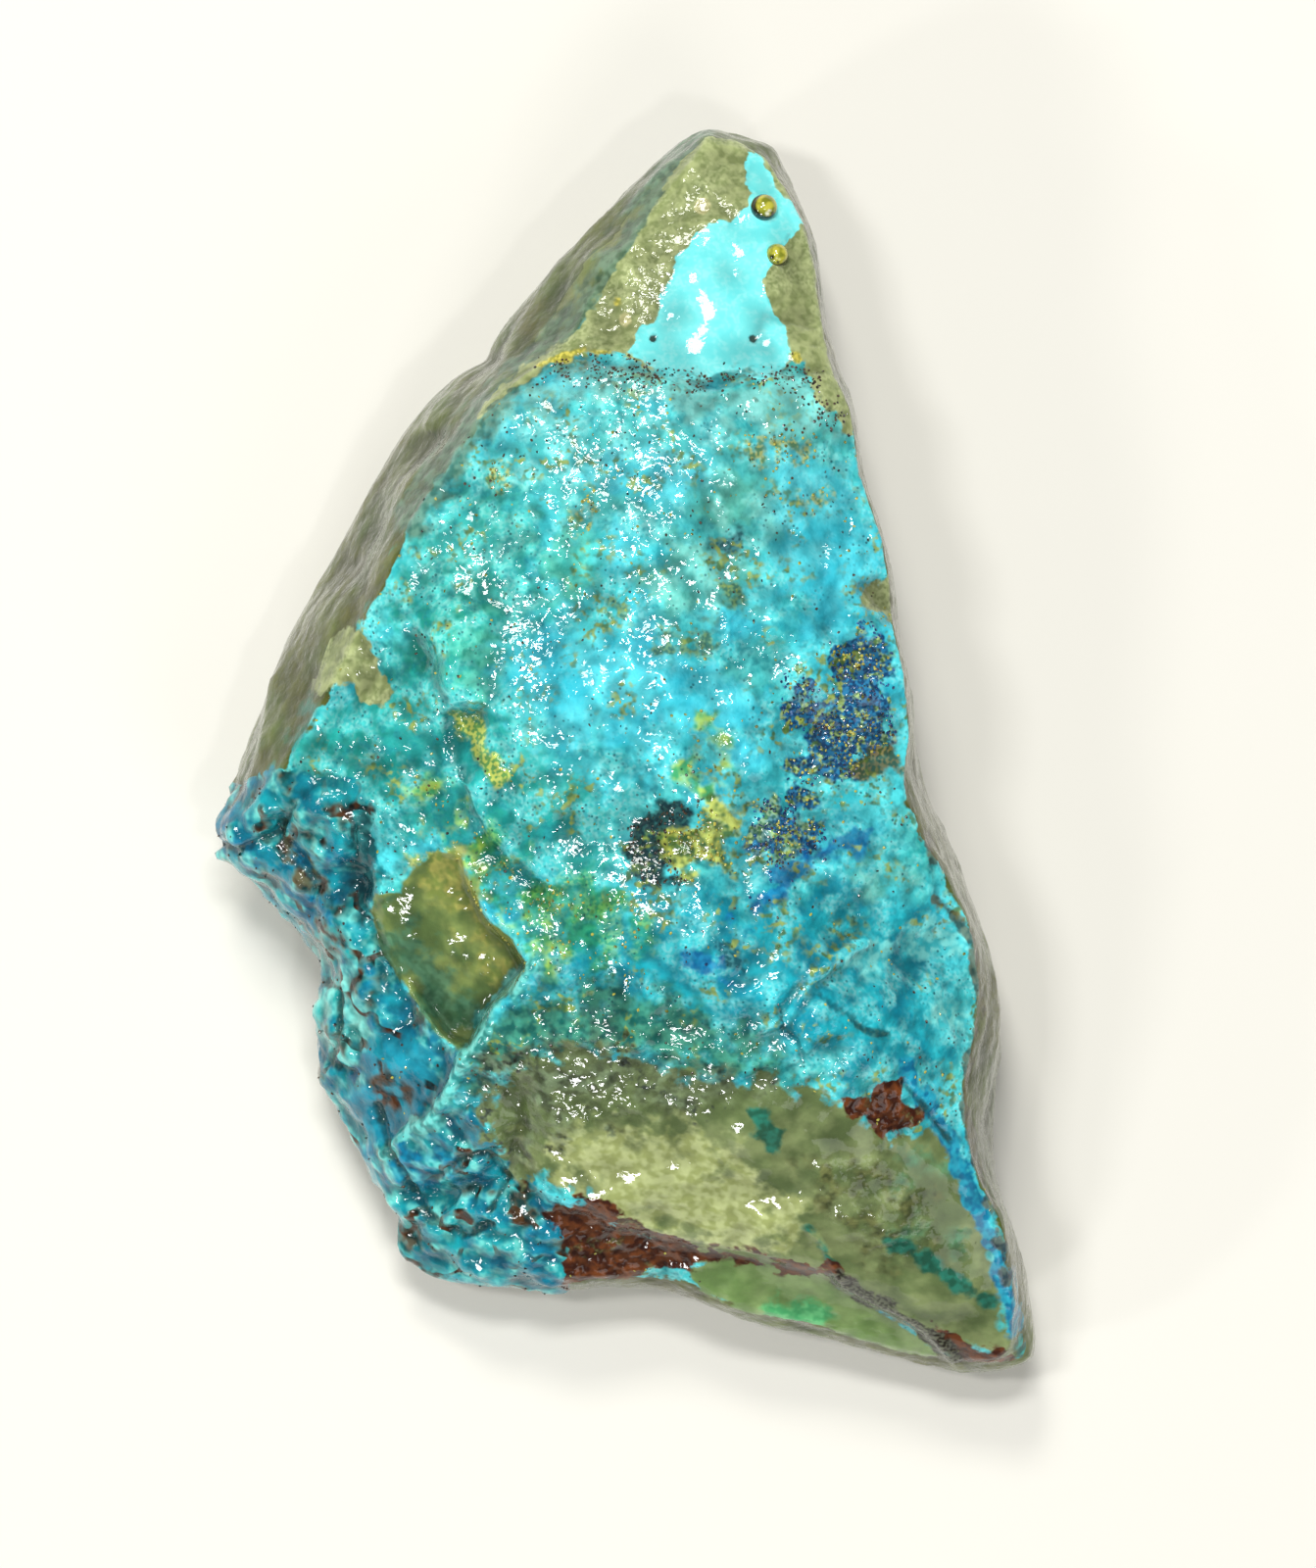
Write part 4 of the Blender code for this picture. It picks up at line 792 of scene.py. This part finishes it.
def mark_ground(mesh):
    """Store how deep each point lies in each mineral, and what kind of ground it is on."""
    points, pairs = points_mm(mesh), edge_pairs(mesh)
    spots, heights = points[:, :2], points[:, 2]
    upward = smoothed(normals_of(mesh), pairs, UPWARD_ROUNDS)[:, 2]
    front = heights > FRONT_FLOOR
    names = [name for members in MINERALS.values() for name in members]
    names += [name for outlines, _ in GROUNDS.values() for name in outlines] + list(LINE_RELIEF)
    depth = {name: np.where(front, depth_near(spots, name), -FAR) for name in dict.fromkeys(names)}
    for name in LINE_RELIEF:
        set_attribute(mesh, f"line_{name}", depth[name])

    face = depth_inside(spots, CREST)
    wall = ease(upward, *WALL_TILT) * ease(face, *WALL_STRIP)
    face = (face - WALL_CUT * wall
            + RIM_GAIN * ease(spots[:, 0], *RIM_RIGHT_OF) * ease(spots[:, 1], *RIM_ABOVE))
    lobes = depth["lobed_corner"]
    face = np.where(lobes > 0.0, np.maximum(face, lobes), face)
    face = np.minimum(face, CRUST_FADE * (heights - CRUST_FLOOR))
    on_face = ease(face, -FACE_SOFTNESS, FACE_SOFTNESS)
    set_attribute(mesh, "face", face)
    set_attribute(mesh, "everywhere", np.full(len(points), FAR))
    for mineral, members in MINERALS.items():
        reach = np.max([depth[name] + extra for name, extra in members.items()], axis=0)
        if mineral not in OVER_THE_EDGE:
            reach = np.where(face > -FACE_REACH, reach, -FAR)
        set_attribute(mesh, mineral, reach)

    share = {ground: on_face * np.max([ease(depth[name], -soft, soft) for name in outlines], axis=0)
             for ground, (outlines, soft) in GROUNDS.items()}
    film, hollow, slope, ragged = (share[ground] for ground in ("film", "hollow", "slope", "ragged"))
    knobs = share["lobes"] * (1.0 - SLAB_FLATNESS * share["slab"])
    bare = np.maximum(share["point"] * (1.0 - film), hollow)
    crust = on_face * (1.0 - np.max([film, knobs, slope, bare], axis=0))
    grounds = {"crust": crust, "film": film, "knobs": knobs, "ragged": ragged, "druse": share["druse"],
               "slope": slope * (1.0 - ragged), "bare": bare, "flank": 1.0 - on_face}
    risen = ease(heights, *RELIEF_RISE)
    for name, values in grounds.items():
        set_attribute(mesh, f"ground_{name}", values * risen)
    # above nought, as a mineral's depth is, where more than half of the ground is crust
    set_attribute(mesh, "crust", crust - 0.5)
    calm = np.max([CALM["film"] * film, CALM["slope"] * slope * (1.0 - ragged), CALM["hollow"] * hollow],
                  axis=0)
    set_attribute(mesh, "calm", calm - LIVELY["bare"] * bare - LIVELY["rippled"] * share["rippled"]
                  - LIVELY["ragged"] * ragged)


def relief_input(index, kind):
    """The name of the relief tree's input for the size or the height of one row of RELIEFS."""
    ground, pattern, _, _ = RELIEFS[index]
    return f"{ground} {pattern.lower()} {index} {kind}"


def relief_tree():
    """Geometry nodes that raise each kind of ground along its normal, by sizes in millimetres."""
    tree = bpy.data.node_groups.new("stone_relief", "GeometryNodeTree")
    tree.interface.new_socket("Stone", in_out="INPUT", socket_type="NodeSocketGeometry")
    tree.interface.new_socket("Relief", in_out="OUTPUT", socket_type="NodeSocketGeometry")
    for index in range(len(RELIEFS)):
        for kind in ("size", "height"):
            tree.interface.new_socket(relief_input(index, kind), in_out="INPUT",
                                      socket_type="NodeSocketFloat")
    tree.interface.new_socket("Material", in_out="INPUT", socket_type="NodeSocketMaterial")
    given = add(tree, "NodeGroupInput")
    place = add(tree, "GeometryNodeInputPosition")
    in_mm = add(tree, "ShaderNodeVectorMath", {"operation": "SCALE"}, {0: place, "Scale": 1.0 / MM})
    turned = add(tree, "ShaderNodeVectorRotate", {"rotation_type": "Z_AXIS"},
                 {"Vector": in_mm, "Angle": -STREAK_HEADING})
    drawn_out = add(tree, "ShaderNodeVectorMath", {"operation": "MULTIPLY"},
                    {0: turned, 1: (1.0 / STREAK_LENGTH, 1.0, 1.0)})
    sway = add(tree, "ShaderNodeTexNoise", None,
               {"Vector": in_mm, "Scale": SWAY_LUMPS_PER_MM, "Detail": 1.0})
    swayed = add(tree, "ShaderNodeVectorMath", {"operation": "MULTIPLY_ADD"},
                 {0: sway.outputs["Color"], 1: (CELL_SWAY,) * 3, 2: in_mm})
    total = None
    for index, (ground, pattern, _, _) in enumerate(RELIEFS):
        size, height = (given.outputs[relief_input(index, kind)] for kind in ("size", "height"))
        lumps = add(tree, "ShaderNodeMath", {"operation": "DIVIDE"}, {0: 1.0, 1: size})
        shifted = add(tree, "ShaderNodeVectorMath", {"operation": "ADD"},
                      {0: {"STREAKS": drawn_out, "CELLS": swayed}.get(pattern, in_mm),
                       1: (PATTERN_DRIFT * index, -PATTERN_DRIFT * index, PATTERN_DRIFT)})
        if pattern == "CELLS":
            cells = add(tree, "ShaderNodeTexVoronoi", {"feature": "SMOOTH_F1"},
                        {"Vector": shifted, "Scale": lumps, "Smoothness": CELL_SOFTNESS})
            wave = add(tree, "ShaderNodeMath", {"operation": "SUBTRACT"}, {0: NOISE_MIDDLE, 1: cells})
        else:
            noise = add(tree, "ShaderNodeTexNoise", None,
                        {"Vector": shifted, "Scale": lumps, "Detail": RELIEF_DETAIL,
                         "Roughness": RELIEF_ROUGHNESS})
            wave = add(tree, "ShaderNodeMath", {"operation": "SUBTRACT"}, {0: noise, 1: NOISE_MIDDLE})
        here = add(tree, "GeometryNodeInputNamedAttribute", {"data_type": "FLOAT"},
                   {"Name": f"ground_{ground}"})
        raised = add(tree, "ShaderNodeMath", {"operation": "MULTIPLY"}, {0: wave, 1: height})
        local = add(tree, "ShaderNodeMath", {"operation": "MULTIPLY"}, {0: raised, 1: here})
        total = local if total is None else add(tree, "ShaderNodeMath", {"operation": "ADD"},
                                                {0: total, 1: local})
    in_metres = add(tree, "ShaderNodeMath", {"operation": "MULTIPLY"}, {0: total, 1: MM})
    normal = add(tree, "GeometryNodeInputNormal")
    offset = add(tree, "ShaderNodeVectorMath", {"operation": "SCALE"}, {0: normal, "Scale": in_metres})
    moved = add(tree, "GeometryNodeSetPosition", None,
                {"Geometry": given.outputs["Stone"], "Offset": offset})
    whole = add(tree, "GeometryNodeRealizeInstances", None, {"Geometry": moved})
    dressed = add(tree, "GeometryNodeSetMaterial", None,
                  {"Geometry": whole, "Material": given.outputs["Material"]})
    add(tree, "NodeGroupOutput", None, {"Relief": dressed})
    return tree


def apply_tree(name, mesh, tree, inputs):
    """Run a geometry node tree on a mesh, with inputs by name, and return a plain object."""
    carrier = put_in_scene(f"{name}_carrier", mesh)
    modifier = carrier.modifiers.new("nodes", "NODES")
    modifier.node_group = tree
    for item in tree.interface.items_tree:
        if item.in_out == "INPUT" and item.name in inputs:
            modifier[item.identifier] = inputs[item.name]
    bpy.context.view_layer.update()
    evaluated = carrier.evaluated_get(bpy.context.evaluated_depsgraph_get())
    result = bpy.data.meshes.new_from_object(evaluated)
    bpy.data.objects.remove(carrier)
    result.name = name
    return put_in_scene(name, result)


def cut_and_raise(mesh):
    """Sink the cracks and pits, raise the lip, keep the stone in its own box, and store how deep each
    point lies in a hollow or stands on a high spot, for the painted shade and highlight.
    """
    points, normals, pairs = points_mm(mesh), normals_of(mesh), edge_pairs(mesh)
    height = np.zeros(len(points))
    for name, (width, rise) in LINE_RELIEF.items():
        height += rise * ease(get_attribute(mesh, f"line_{name}"), -width, 0.0)
    points += height[:, None] * normals
    low, high = (np.array(corner) / MM for corner in cad_box)
    points = np.clip(points, low, high)
    set_points(mesh, points)
    normals = normals_of(mesh)
    for name, rounds, *_ in PAINTED_HOLLOW_SHADE:
        lift = ((smoothed(points, pairs, rounds) - points) * normals).sum(axis=1)
        set_attribute(mesh, name, lift)


def pattern_sockets(tree):
    """Every shared pattern from 0 to 1, on the stone's own coordinates in millimetres."""
    place = add(tree, "ShaderNodeTexCoord")
    in_mm = add(tree, "ShaderNodeMapping", None,
                {"Vector": place.outputs["Object"], "Scale": (1.0 / MM,) * 3})
    streaked = add(tree, "ShaderNodeMapping", {"vector_type": "TEXTURE"},
                   {"Vector": place.outputs["Object"], "Rotation": (0.0, 0.0, STREAK_HEADING),
                    "Scale": (STREAK_LENGTH * MM, MM, MM)})
    sockets = {}
    for index, (name, (kind, size, detail, low, high)) in enumerate(PATTERNS.items()):
        drift = PATTERN_DRIFT * (index + 1)
        shifted = add(tree, "ShaderNodeVectorMath", {"operation": "ADD"},
                      {0: streaked if kind == "STREAKS" else in_mm, 1: (drift, -drift, drift)})
        if kind == "CELLS":
            cells = add(tree, "ShaderNodeTexVoronoi", None, {"Vector": shifted, "Scale": 1.0 / size})
            source = cells.outputs["Distance"]
        else:
            source = add(tree, "ShaderNodeTexNoise", None,
                         {"Vector": shifted, "Scale": 1.0 / size, "Detail": detail}).outputs[0]
        if kind == "VEINS":
            off_line = add(tree, "ShaderNodeMath", {"operation": "SUBTRACT"}, {0: source, 1: NOISE_MIDDLE})
            source = add(tree, "ShaderNodeMath", {"operation": "ABSOLUTE"}, {0: off_line}).outputs[0]
        sockets[name] = add(tree, "ShaderNodeMapRange", SMOOTH,
                            {"Value": source, "From Min": low, "From Max": high}).outputs[0]
    for name, (first, second) in CLUSTERED.items():
        sockets[name] = add(tree, "ShaderNodeMath", {"operation": "MULTIPLY"},
                            {0: sockets[first], 1: sockets[second]}).outputs[0]
    return sockets


def rock_material():
    """Broken jasper-like rock with a crust of chrysocolla, which copper-bearing water left on it as a
    skin of small round lumps. Wet, so its colours are deep under one thin clear gloss, and every lump
    catches its own sharp point of light. Breaking left the rock grainy, so it is dull under the film."""
    material = new_material("wet_chrysocolla_rock")
    tree = material.node_tree
    tree.nodes.clear()
    patterns = pattern_sockets(tree)
    edge = add(tree, "ShaderNodeMapRange", {"clamp": False}, {"Value": patterns["edge"], "To Min": -1.0})
    ground = None
    depths = {}
    for where, ragged, soft, dark, light, grain, cover, *broken in LAYERS:
        tint = add(tree, "ShaderNodeMix", {"data_type": "RGBA"},
                   {0: patterns[grain], 6: colour(dark), 7: colour(light)}).outputs[2]
        if ground is None:
            ground = tint
            continue
        if where not in depths:
            depths[where] = add(tree, "ShaderNodeAttribute", {"attribute_name": where}).outputs["Fac"]
        torn = add(tree, "ShaderNodeMath", {"operation": "MULTIPLY_ADD"},
                   {0: edge, 1: ragged, 2: depths[where]})
        mask = add(tree, "ShaderNodeMapRange", SMOOTH,
                   {"Value": torn, "From Min": -soft, "From Max": soft, "To Max": cover})
        for pattern in broken:
            mask = add(tree, "ShaderNodeMath", {"operation": "MULTIPLY"},
                       {0: mask, 1: patterns[pattern]})
        ground = add(tree, "ShaderNodeMix", {"data_type": "RGBA"},
                     {0: mask, 6: ground, 7: tint}).outputs[2]
    # Painted shade and painted highlight: the colour is scaled darker in hollows and paler on high spots
    for name, _, reach, painted_highlight, hollow in PAINTED_HOLLOW_SHADE:
        lift = add(tree, "ShaderNodeAttribute", {"attribute_name": name})
        shade = add(tree, "ShaderNodeMapRange", SMOOTH,
                    {"Value": lift.outputs["Fac"], "From Min": -reach, "From Max": reach,
                     "To Min": painted_highlight, "To Max": hollow})
        ground = add(tree, "ShaderNodeVectorMath", {"operation": "SCALE"},
                     {0: ground, "Scale": shade}).outputs[0]
    calm = add(tree, "ShaderNodeAttribute", {"attribute_name": "calm"})
    swell = add(tree, "ShaderNodeMapRange", {"clamp": False},
                {"Value": calm.outputs["Fac"], "To Min": 1.0, "To Max": CALMEST})
    bumps = []
    for parts in (ROCK_GRAIN, FILM_SWELL):
        total = None
        for pattern, height in parts:
            part = add(tree, "ShaderNodeMath", {"operation": "MULTIPLY"},
                       {0: patterns[pattern], 1: height})
            total = part if total is None else add(tree, "ShaderNodeMath", {"operation": "ADD"},
                                                   {0: total, 1: part})
        scaled = add(tree, "ShaderNodeMath", {"operation": "MULTIPLY"}, {0: total, 1: swell})
        bumps.append(add(tree, "ShaderNodeBump", None, {"Height": scaled, "Distance": MM}))
    smoothest, roughest = ROCK_ROUGHNESS
    rough = add(tree, "ShaderNodeMapRange", {"clamp": False},
                {"Value": patterns["fine"], "To Min": smoothest, "To Max": roughest})
    surface = add(tree, "ShaderNodeBsdfPrincipled", None,
                  {"Base Color": ground, "Roughness": rough, "IOR": ROCK_IOR,
                   "Specular IOR Level": ROCK_SPECULAR, "Normal": bumps[0], "Coat Weight": 1.0,
                   "Coat Roughness": FILM_ROUGHNESS, "Coat IOR": FILM_IOR, "Coat Normal": bumps[1]})
    add(tree, "ShaderNodeOutputMaterial", None, {"Surface": surface})
    return material


def grain_tree():
    """Geometry nodes that strew small faceted grains over a surface, by sizes in millimetres."""
    tree = bpy.data.node_groups.new("strewn_grains", "GeometryNodeTree")
    for name, kind in (("Ground", "Geometry"), ("Per square mm", "Float"), ("Smallest", "Float"),
                       ("Largest", "Float"), ("Cluster size", "Float"), ("Seed", "Int"),
                       ("Material", "Material")):
        tree.interface.new_socket(name, in_out="INPUT", socket_type=f"NodeSocket{kind}")
    tree.interface.new_socket("Grains", in_out="OUTPUT", socket_type="NodeSocketGeometry")
    given = add(tree, "NodeGroupInput").outputs
    place = add(tree, "GeometryNodeInputPosition")
    in_mm = add(tree, "ShaderNodeVectorMath", {"operation": "SCALE"}, {0: place, "Scale": 1.0 / MM})
    lumps = add(tree, "ShaderNodeMath", {"operation": "DIVIDE"}, {0: 1.0, 1: given["Cluster size"]})
    noise = add(tree, "ShaderNodeTexNoise", None, {"Vector": in_mm, "Scale": lumps, "Detail": 1.0})
    bare, thickest = CLUSTER_LEVELS
    cluster = add(tree, "ShaderNodeMapRange", SMOOTH,
                  {"Value": noise, "From Min": bare, "From Max": thickest})
    here = add(tree, "GeometryNodeInputNamedAttribute", {"data_type": "FLOAT"}, {"Name": "strewn"})
    thick = add(tree, "ShaderNodeMath", {"operation": "MULTIPLY"}, {0: cluster, 1: here})
    dense = add(tree, "ShaderNodeMath", {"operation": "MULTIPLY"}, {0: thick, 1: given["Per square mm"]})
    per_square_metre = add(tree, "ShaderNodeMath", {"operation": "MULTIPLY"}, {0: dense, 1: MM ** -2})
    seats = add(tree, "GeometryNodeDistributePointsOnFaces", {"distribute_method": "RANDOM"},
                {"Mesh": given["Ground"], "Density": per_square_metre, "Seed": given["Seed"]})
    # one millimetre across, which the sizes then scale, each way by its own
    lump = add(tree, "GeometryNodeMeshIcoSphere", None, {"Radius": 0.5 * MM, "Subdivisions": 1})
    size = add(tree, "FunctionNodeRandomValue", {"data_type": "FLOAT_VECTOR"},
               {0: given["Smallest"], 1: given["Largest"], "Seed": given["Seed"]})
    turn = add(tree, "FunctionNodeRandomValue", {"data_type": "FLOAT_VECTOR"},
               {0: (0.0, 0.0, 0.0), 1: (TURN,) * 3, "Seed": given["Seed"]})
    placed = add(tree, "GeometryNodeInstanceOnPoints", None,
                 {"Points": seats, "Instance": lump, "Rotation": turn, "Scale": size.outputs[0]})
    whole = add(tree, "GeometryNodeRealizeInstances", None, {"Geometry": placed})
    dressed = add(tree, "GeometryNodeSetMaterial", None,
                  {"Geometry": whole, "Material": given["Material"]})
    add(tree, "NodeGroupOutput", None, {"Grains": dressed})
    return tree


def glassy_material(name, dark, light, size, roughness, marks=()):
    """A hard mineral that grew as small rounded lumps: glassy, mottled and wet, so each lump has one
    sharp glint. Each mark is an attribute and the colour it brings."""
    material = new_material(name)
    tree = material.node_tree
    place = add(tree, "ShaderNodeTexCoord")
    noise = add(tree, "ShaderNodeTexNoise", None,
                {"Vector": place.outputs["Object"], "Scale": 1.0 / (size * MM), "Detail": 1.0})
    low, high = MINERAL_LEVELS
    level = add(tree, "ShaderNodeMapRange", SMOOTH, {"Value": noise, "From Min": low, "From Max": high})
    tint = add(tree, "ShaderNodeMix", {"data_type": "RGBA"},
               {0: level.outputs[0], 6: colour(dark), 7: colour(light)}).outputs[2]
    # On the beads these marks are painted shade at the rim and painted glints
    for where, code in marks:
        share = add(tree, "ShaderNodeAttribute", {"attribute_name": where})
        tint = add(tree, "ShaderNodeMix", {"data_type": "RGBA"},
                   {0: share.outputs["Fac"], 6: tint, 7: colour(code)}).outputs[2]
    surface = tree.nodes["Principled BSDF"]
    tree.links.new(tint, surface.inputs["Base Color"])
    for name, value in (("Roughness", roughness), ("IOR", MINERAL_IOR), ("Coat Weight", 1.0),
                        ("Coat Roughness", MINERAL_FILM_ROUGHNESS), ("Coat IOR", MINERAL_FILM_IOR)):
        surface.inputs[name].default_value = value
    return material


def finish_piece(piece):
    """Keep a loose piece inside the stone's own box and on its body."""
    low, high = (np.array(corner) / MM for corner in cad_box)
    set_points(piece.data, np.clip(points_mm(piece.data), low, high))
    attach(piece, "root")


def strew_grains(mesh):
    """Loose-looking grains that stand up from the face: copper pitch, azurite and limonite."""
    ground = mesh.copy()
    ground.name = "strewn_ground"
    depths = {mineral: get_attribute(ground, mineral)
              for mineral in dict.fromkeys(name for row in GRAINS for name, _, _ in row[3])}
    for name in [layer.name for layer in ground.attributes if layer.data_type == "FLOAT"]:
        ground.attributes.remove(ground.attributes[name])
    set_attribute(ground, "strewn", np.zeros(len(ground.vertices)))
    tree = grain_tree()
    for seed, (name, dark, light, wheres, density, smallest, largest, cluster) in enumerate(GRAINS):
        share = np.max([weight * ease(depths[where], -beyond, 0.0) for where, beyond, weight in wheres],
                       axis=0)
        ground.attributes["strewn"].data.foreach_set("value", share.astype(np.float32))
        material = glassy_material(f"wet_{name}", dark, light, GRAIN_MOTTLE, GRAIN_ROUGHNESS)
        piece = apply_tree(name, ground, tree,
                           {"Per square mm": density, "Smallest": smallest, "Largest": largest,
                            "Cluster size": cluster, "Seed": seed + 1, "Material": material})
        piece.data.attributes.remove(piece.data.attributes["strewn"])
        finish_piece(piece)


def seat_nodules(mesh):
    """Two beads of olive chalcedony by the point. They grew as drops of clear jelly. Their dark rim is
    painted shade, as a clear bead darkens at its edge, and their small bright marks are painted glints."""
    tree = BVHTree.FromPolygons([vert.co for vert in mesh.vertices],
                                [face.vertices for face in mesh.polygons])
    material = glassy_material("olive_glassy_nodule", *NODULE_OLIVES, NODULE_MOTTLE, NODULE_ROUGHNESS,
                               NODULE_MARKS)
    for name, (x, y), radius, (disc_x, disc_y, reach), dark_marks, painted_glint_marks in NODULES:
        seat = tree.ray_cast(Vector((x, y, OVERHEAD)) * MM, Vector((0.0, 0.0, -1.0)))[0]
        bm = bmesh.new()
        bmesh.ops.create_icosphere(bm, subdivisions=4, radius=radius * MM)
        bead = mesh_from(name, bm)
        around = points_mm(bead) / radius
        above = ease(around[:, 2], *NODULE_TOP)
        from_disc = np.hypot(around[:, 0] - disc_x, around[:, 1] - disc_y) - reach
        # Painted shade at the rim outside the olive disc along with the dark marks, and painted glints for
        # the bright marks, on the upper part only
        for kind, depth, marks in (("dark", from_disc, dark_marks), ("bright", -FAR, painted_glint_marks)):
            for mark_x, mark_y, size in marks:
                depth = np.maximum(depth, size - np.hypot(around[:, 0] - mark_x, around[:, 1] - mark_y))
            set_attribute(bead, kind, above * ease(depth, 0.0, MARK_SOFTNESS))
        centre = np.array(seat) / MM + (0.0, 0.0, NODULE_SHOWING * radius)
        set_points(bead, centre + around * radius)
        bead.shade_smooth()
        bead.materials.append(material)
        finish_piece(put_in_scene(name, bead))


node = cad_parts[STONE]
mesh = fine_stone(node)
mark_ground(mesh)
sizes = {"Material": rock_material()}
for index, (_, _, size, height) in enumerate(RELIEFS):
    sizes |= {relief_input(index, "size"): size, relief_input(index, "height"): height}
stone = apply_tree("crusted_stone", mesh, relief_tree(), sizes)
cut_and_raise(stone.data)
stone.data.shade_smooth()
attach(stone, "root")
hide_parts(STONE)

strew_grains(stone.data)
seat_nodules(stone.data)

bm = bmesh.new()
bmesh.ops.create_grid(bm, x_segments=1, y_segments=1, size=FLOOR_REACH * MM)
floor = put_in_scene("pale_floor", mesh_from("pale_floor", bm))
floor_material = new_material("pale_matt_card")
card = floor_material.node_tree.nodes["Principled BSDF"]
card.inputs["Base Color"].default_value = colour(CARD)
card.inputs["Roughness"].default_value = CARD_ROUGHNESS
floor.data.materials.append(floor_material)

lens = bpy.data.cameras.new("camera")
lens.lens = LENS
lens.sensor_width = SENSOR
lens.clip_start, lens.clip_end = NEAREST_METRES, FURTHEST_METRES
camera = put_in_scene("camera", lens)
camera.location = Vector(CAMERA) * MM
bpy.context.scene.camera = camera

for name, place, (width, height), power, warmth in LIGHTS:
    lamp = bpy.data.lights.new(name, "AREA")
    lamp.shape = "RECTANGLE"
    lamp.size, lamp.size_y = width * MM, height * MM
    lamp.energy = power
    lamp.color = colour(warmth)[:3]
    holder = put_in_scene(name, lamp)
    holder.location = Vector(place) * MM
    holder.rotation_euler = (Vector(place) - Vector(LIGHTS_AIM)).to_track_quat("Z", "Y").to_euler()

world = bpy.data.worlds.new("pale_room")
world.use_nodes = True
world.node_tree.nodes["Background"].inputs["Color"].default_value = colour(ROOM)
world.node_tree.nodes["Background"].inputs["Strength"].default_value = ROOM_STRENGTH
bpy.context.scene.world = world
bpy.context.scene.view_settings.view_transform = "Standard"
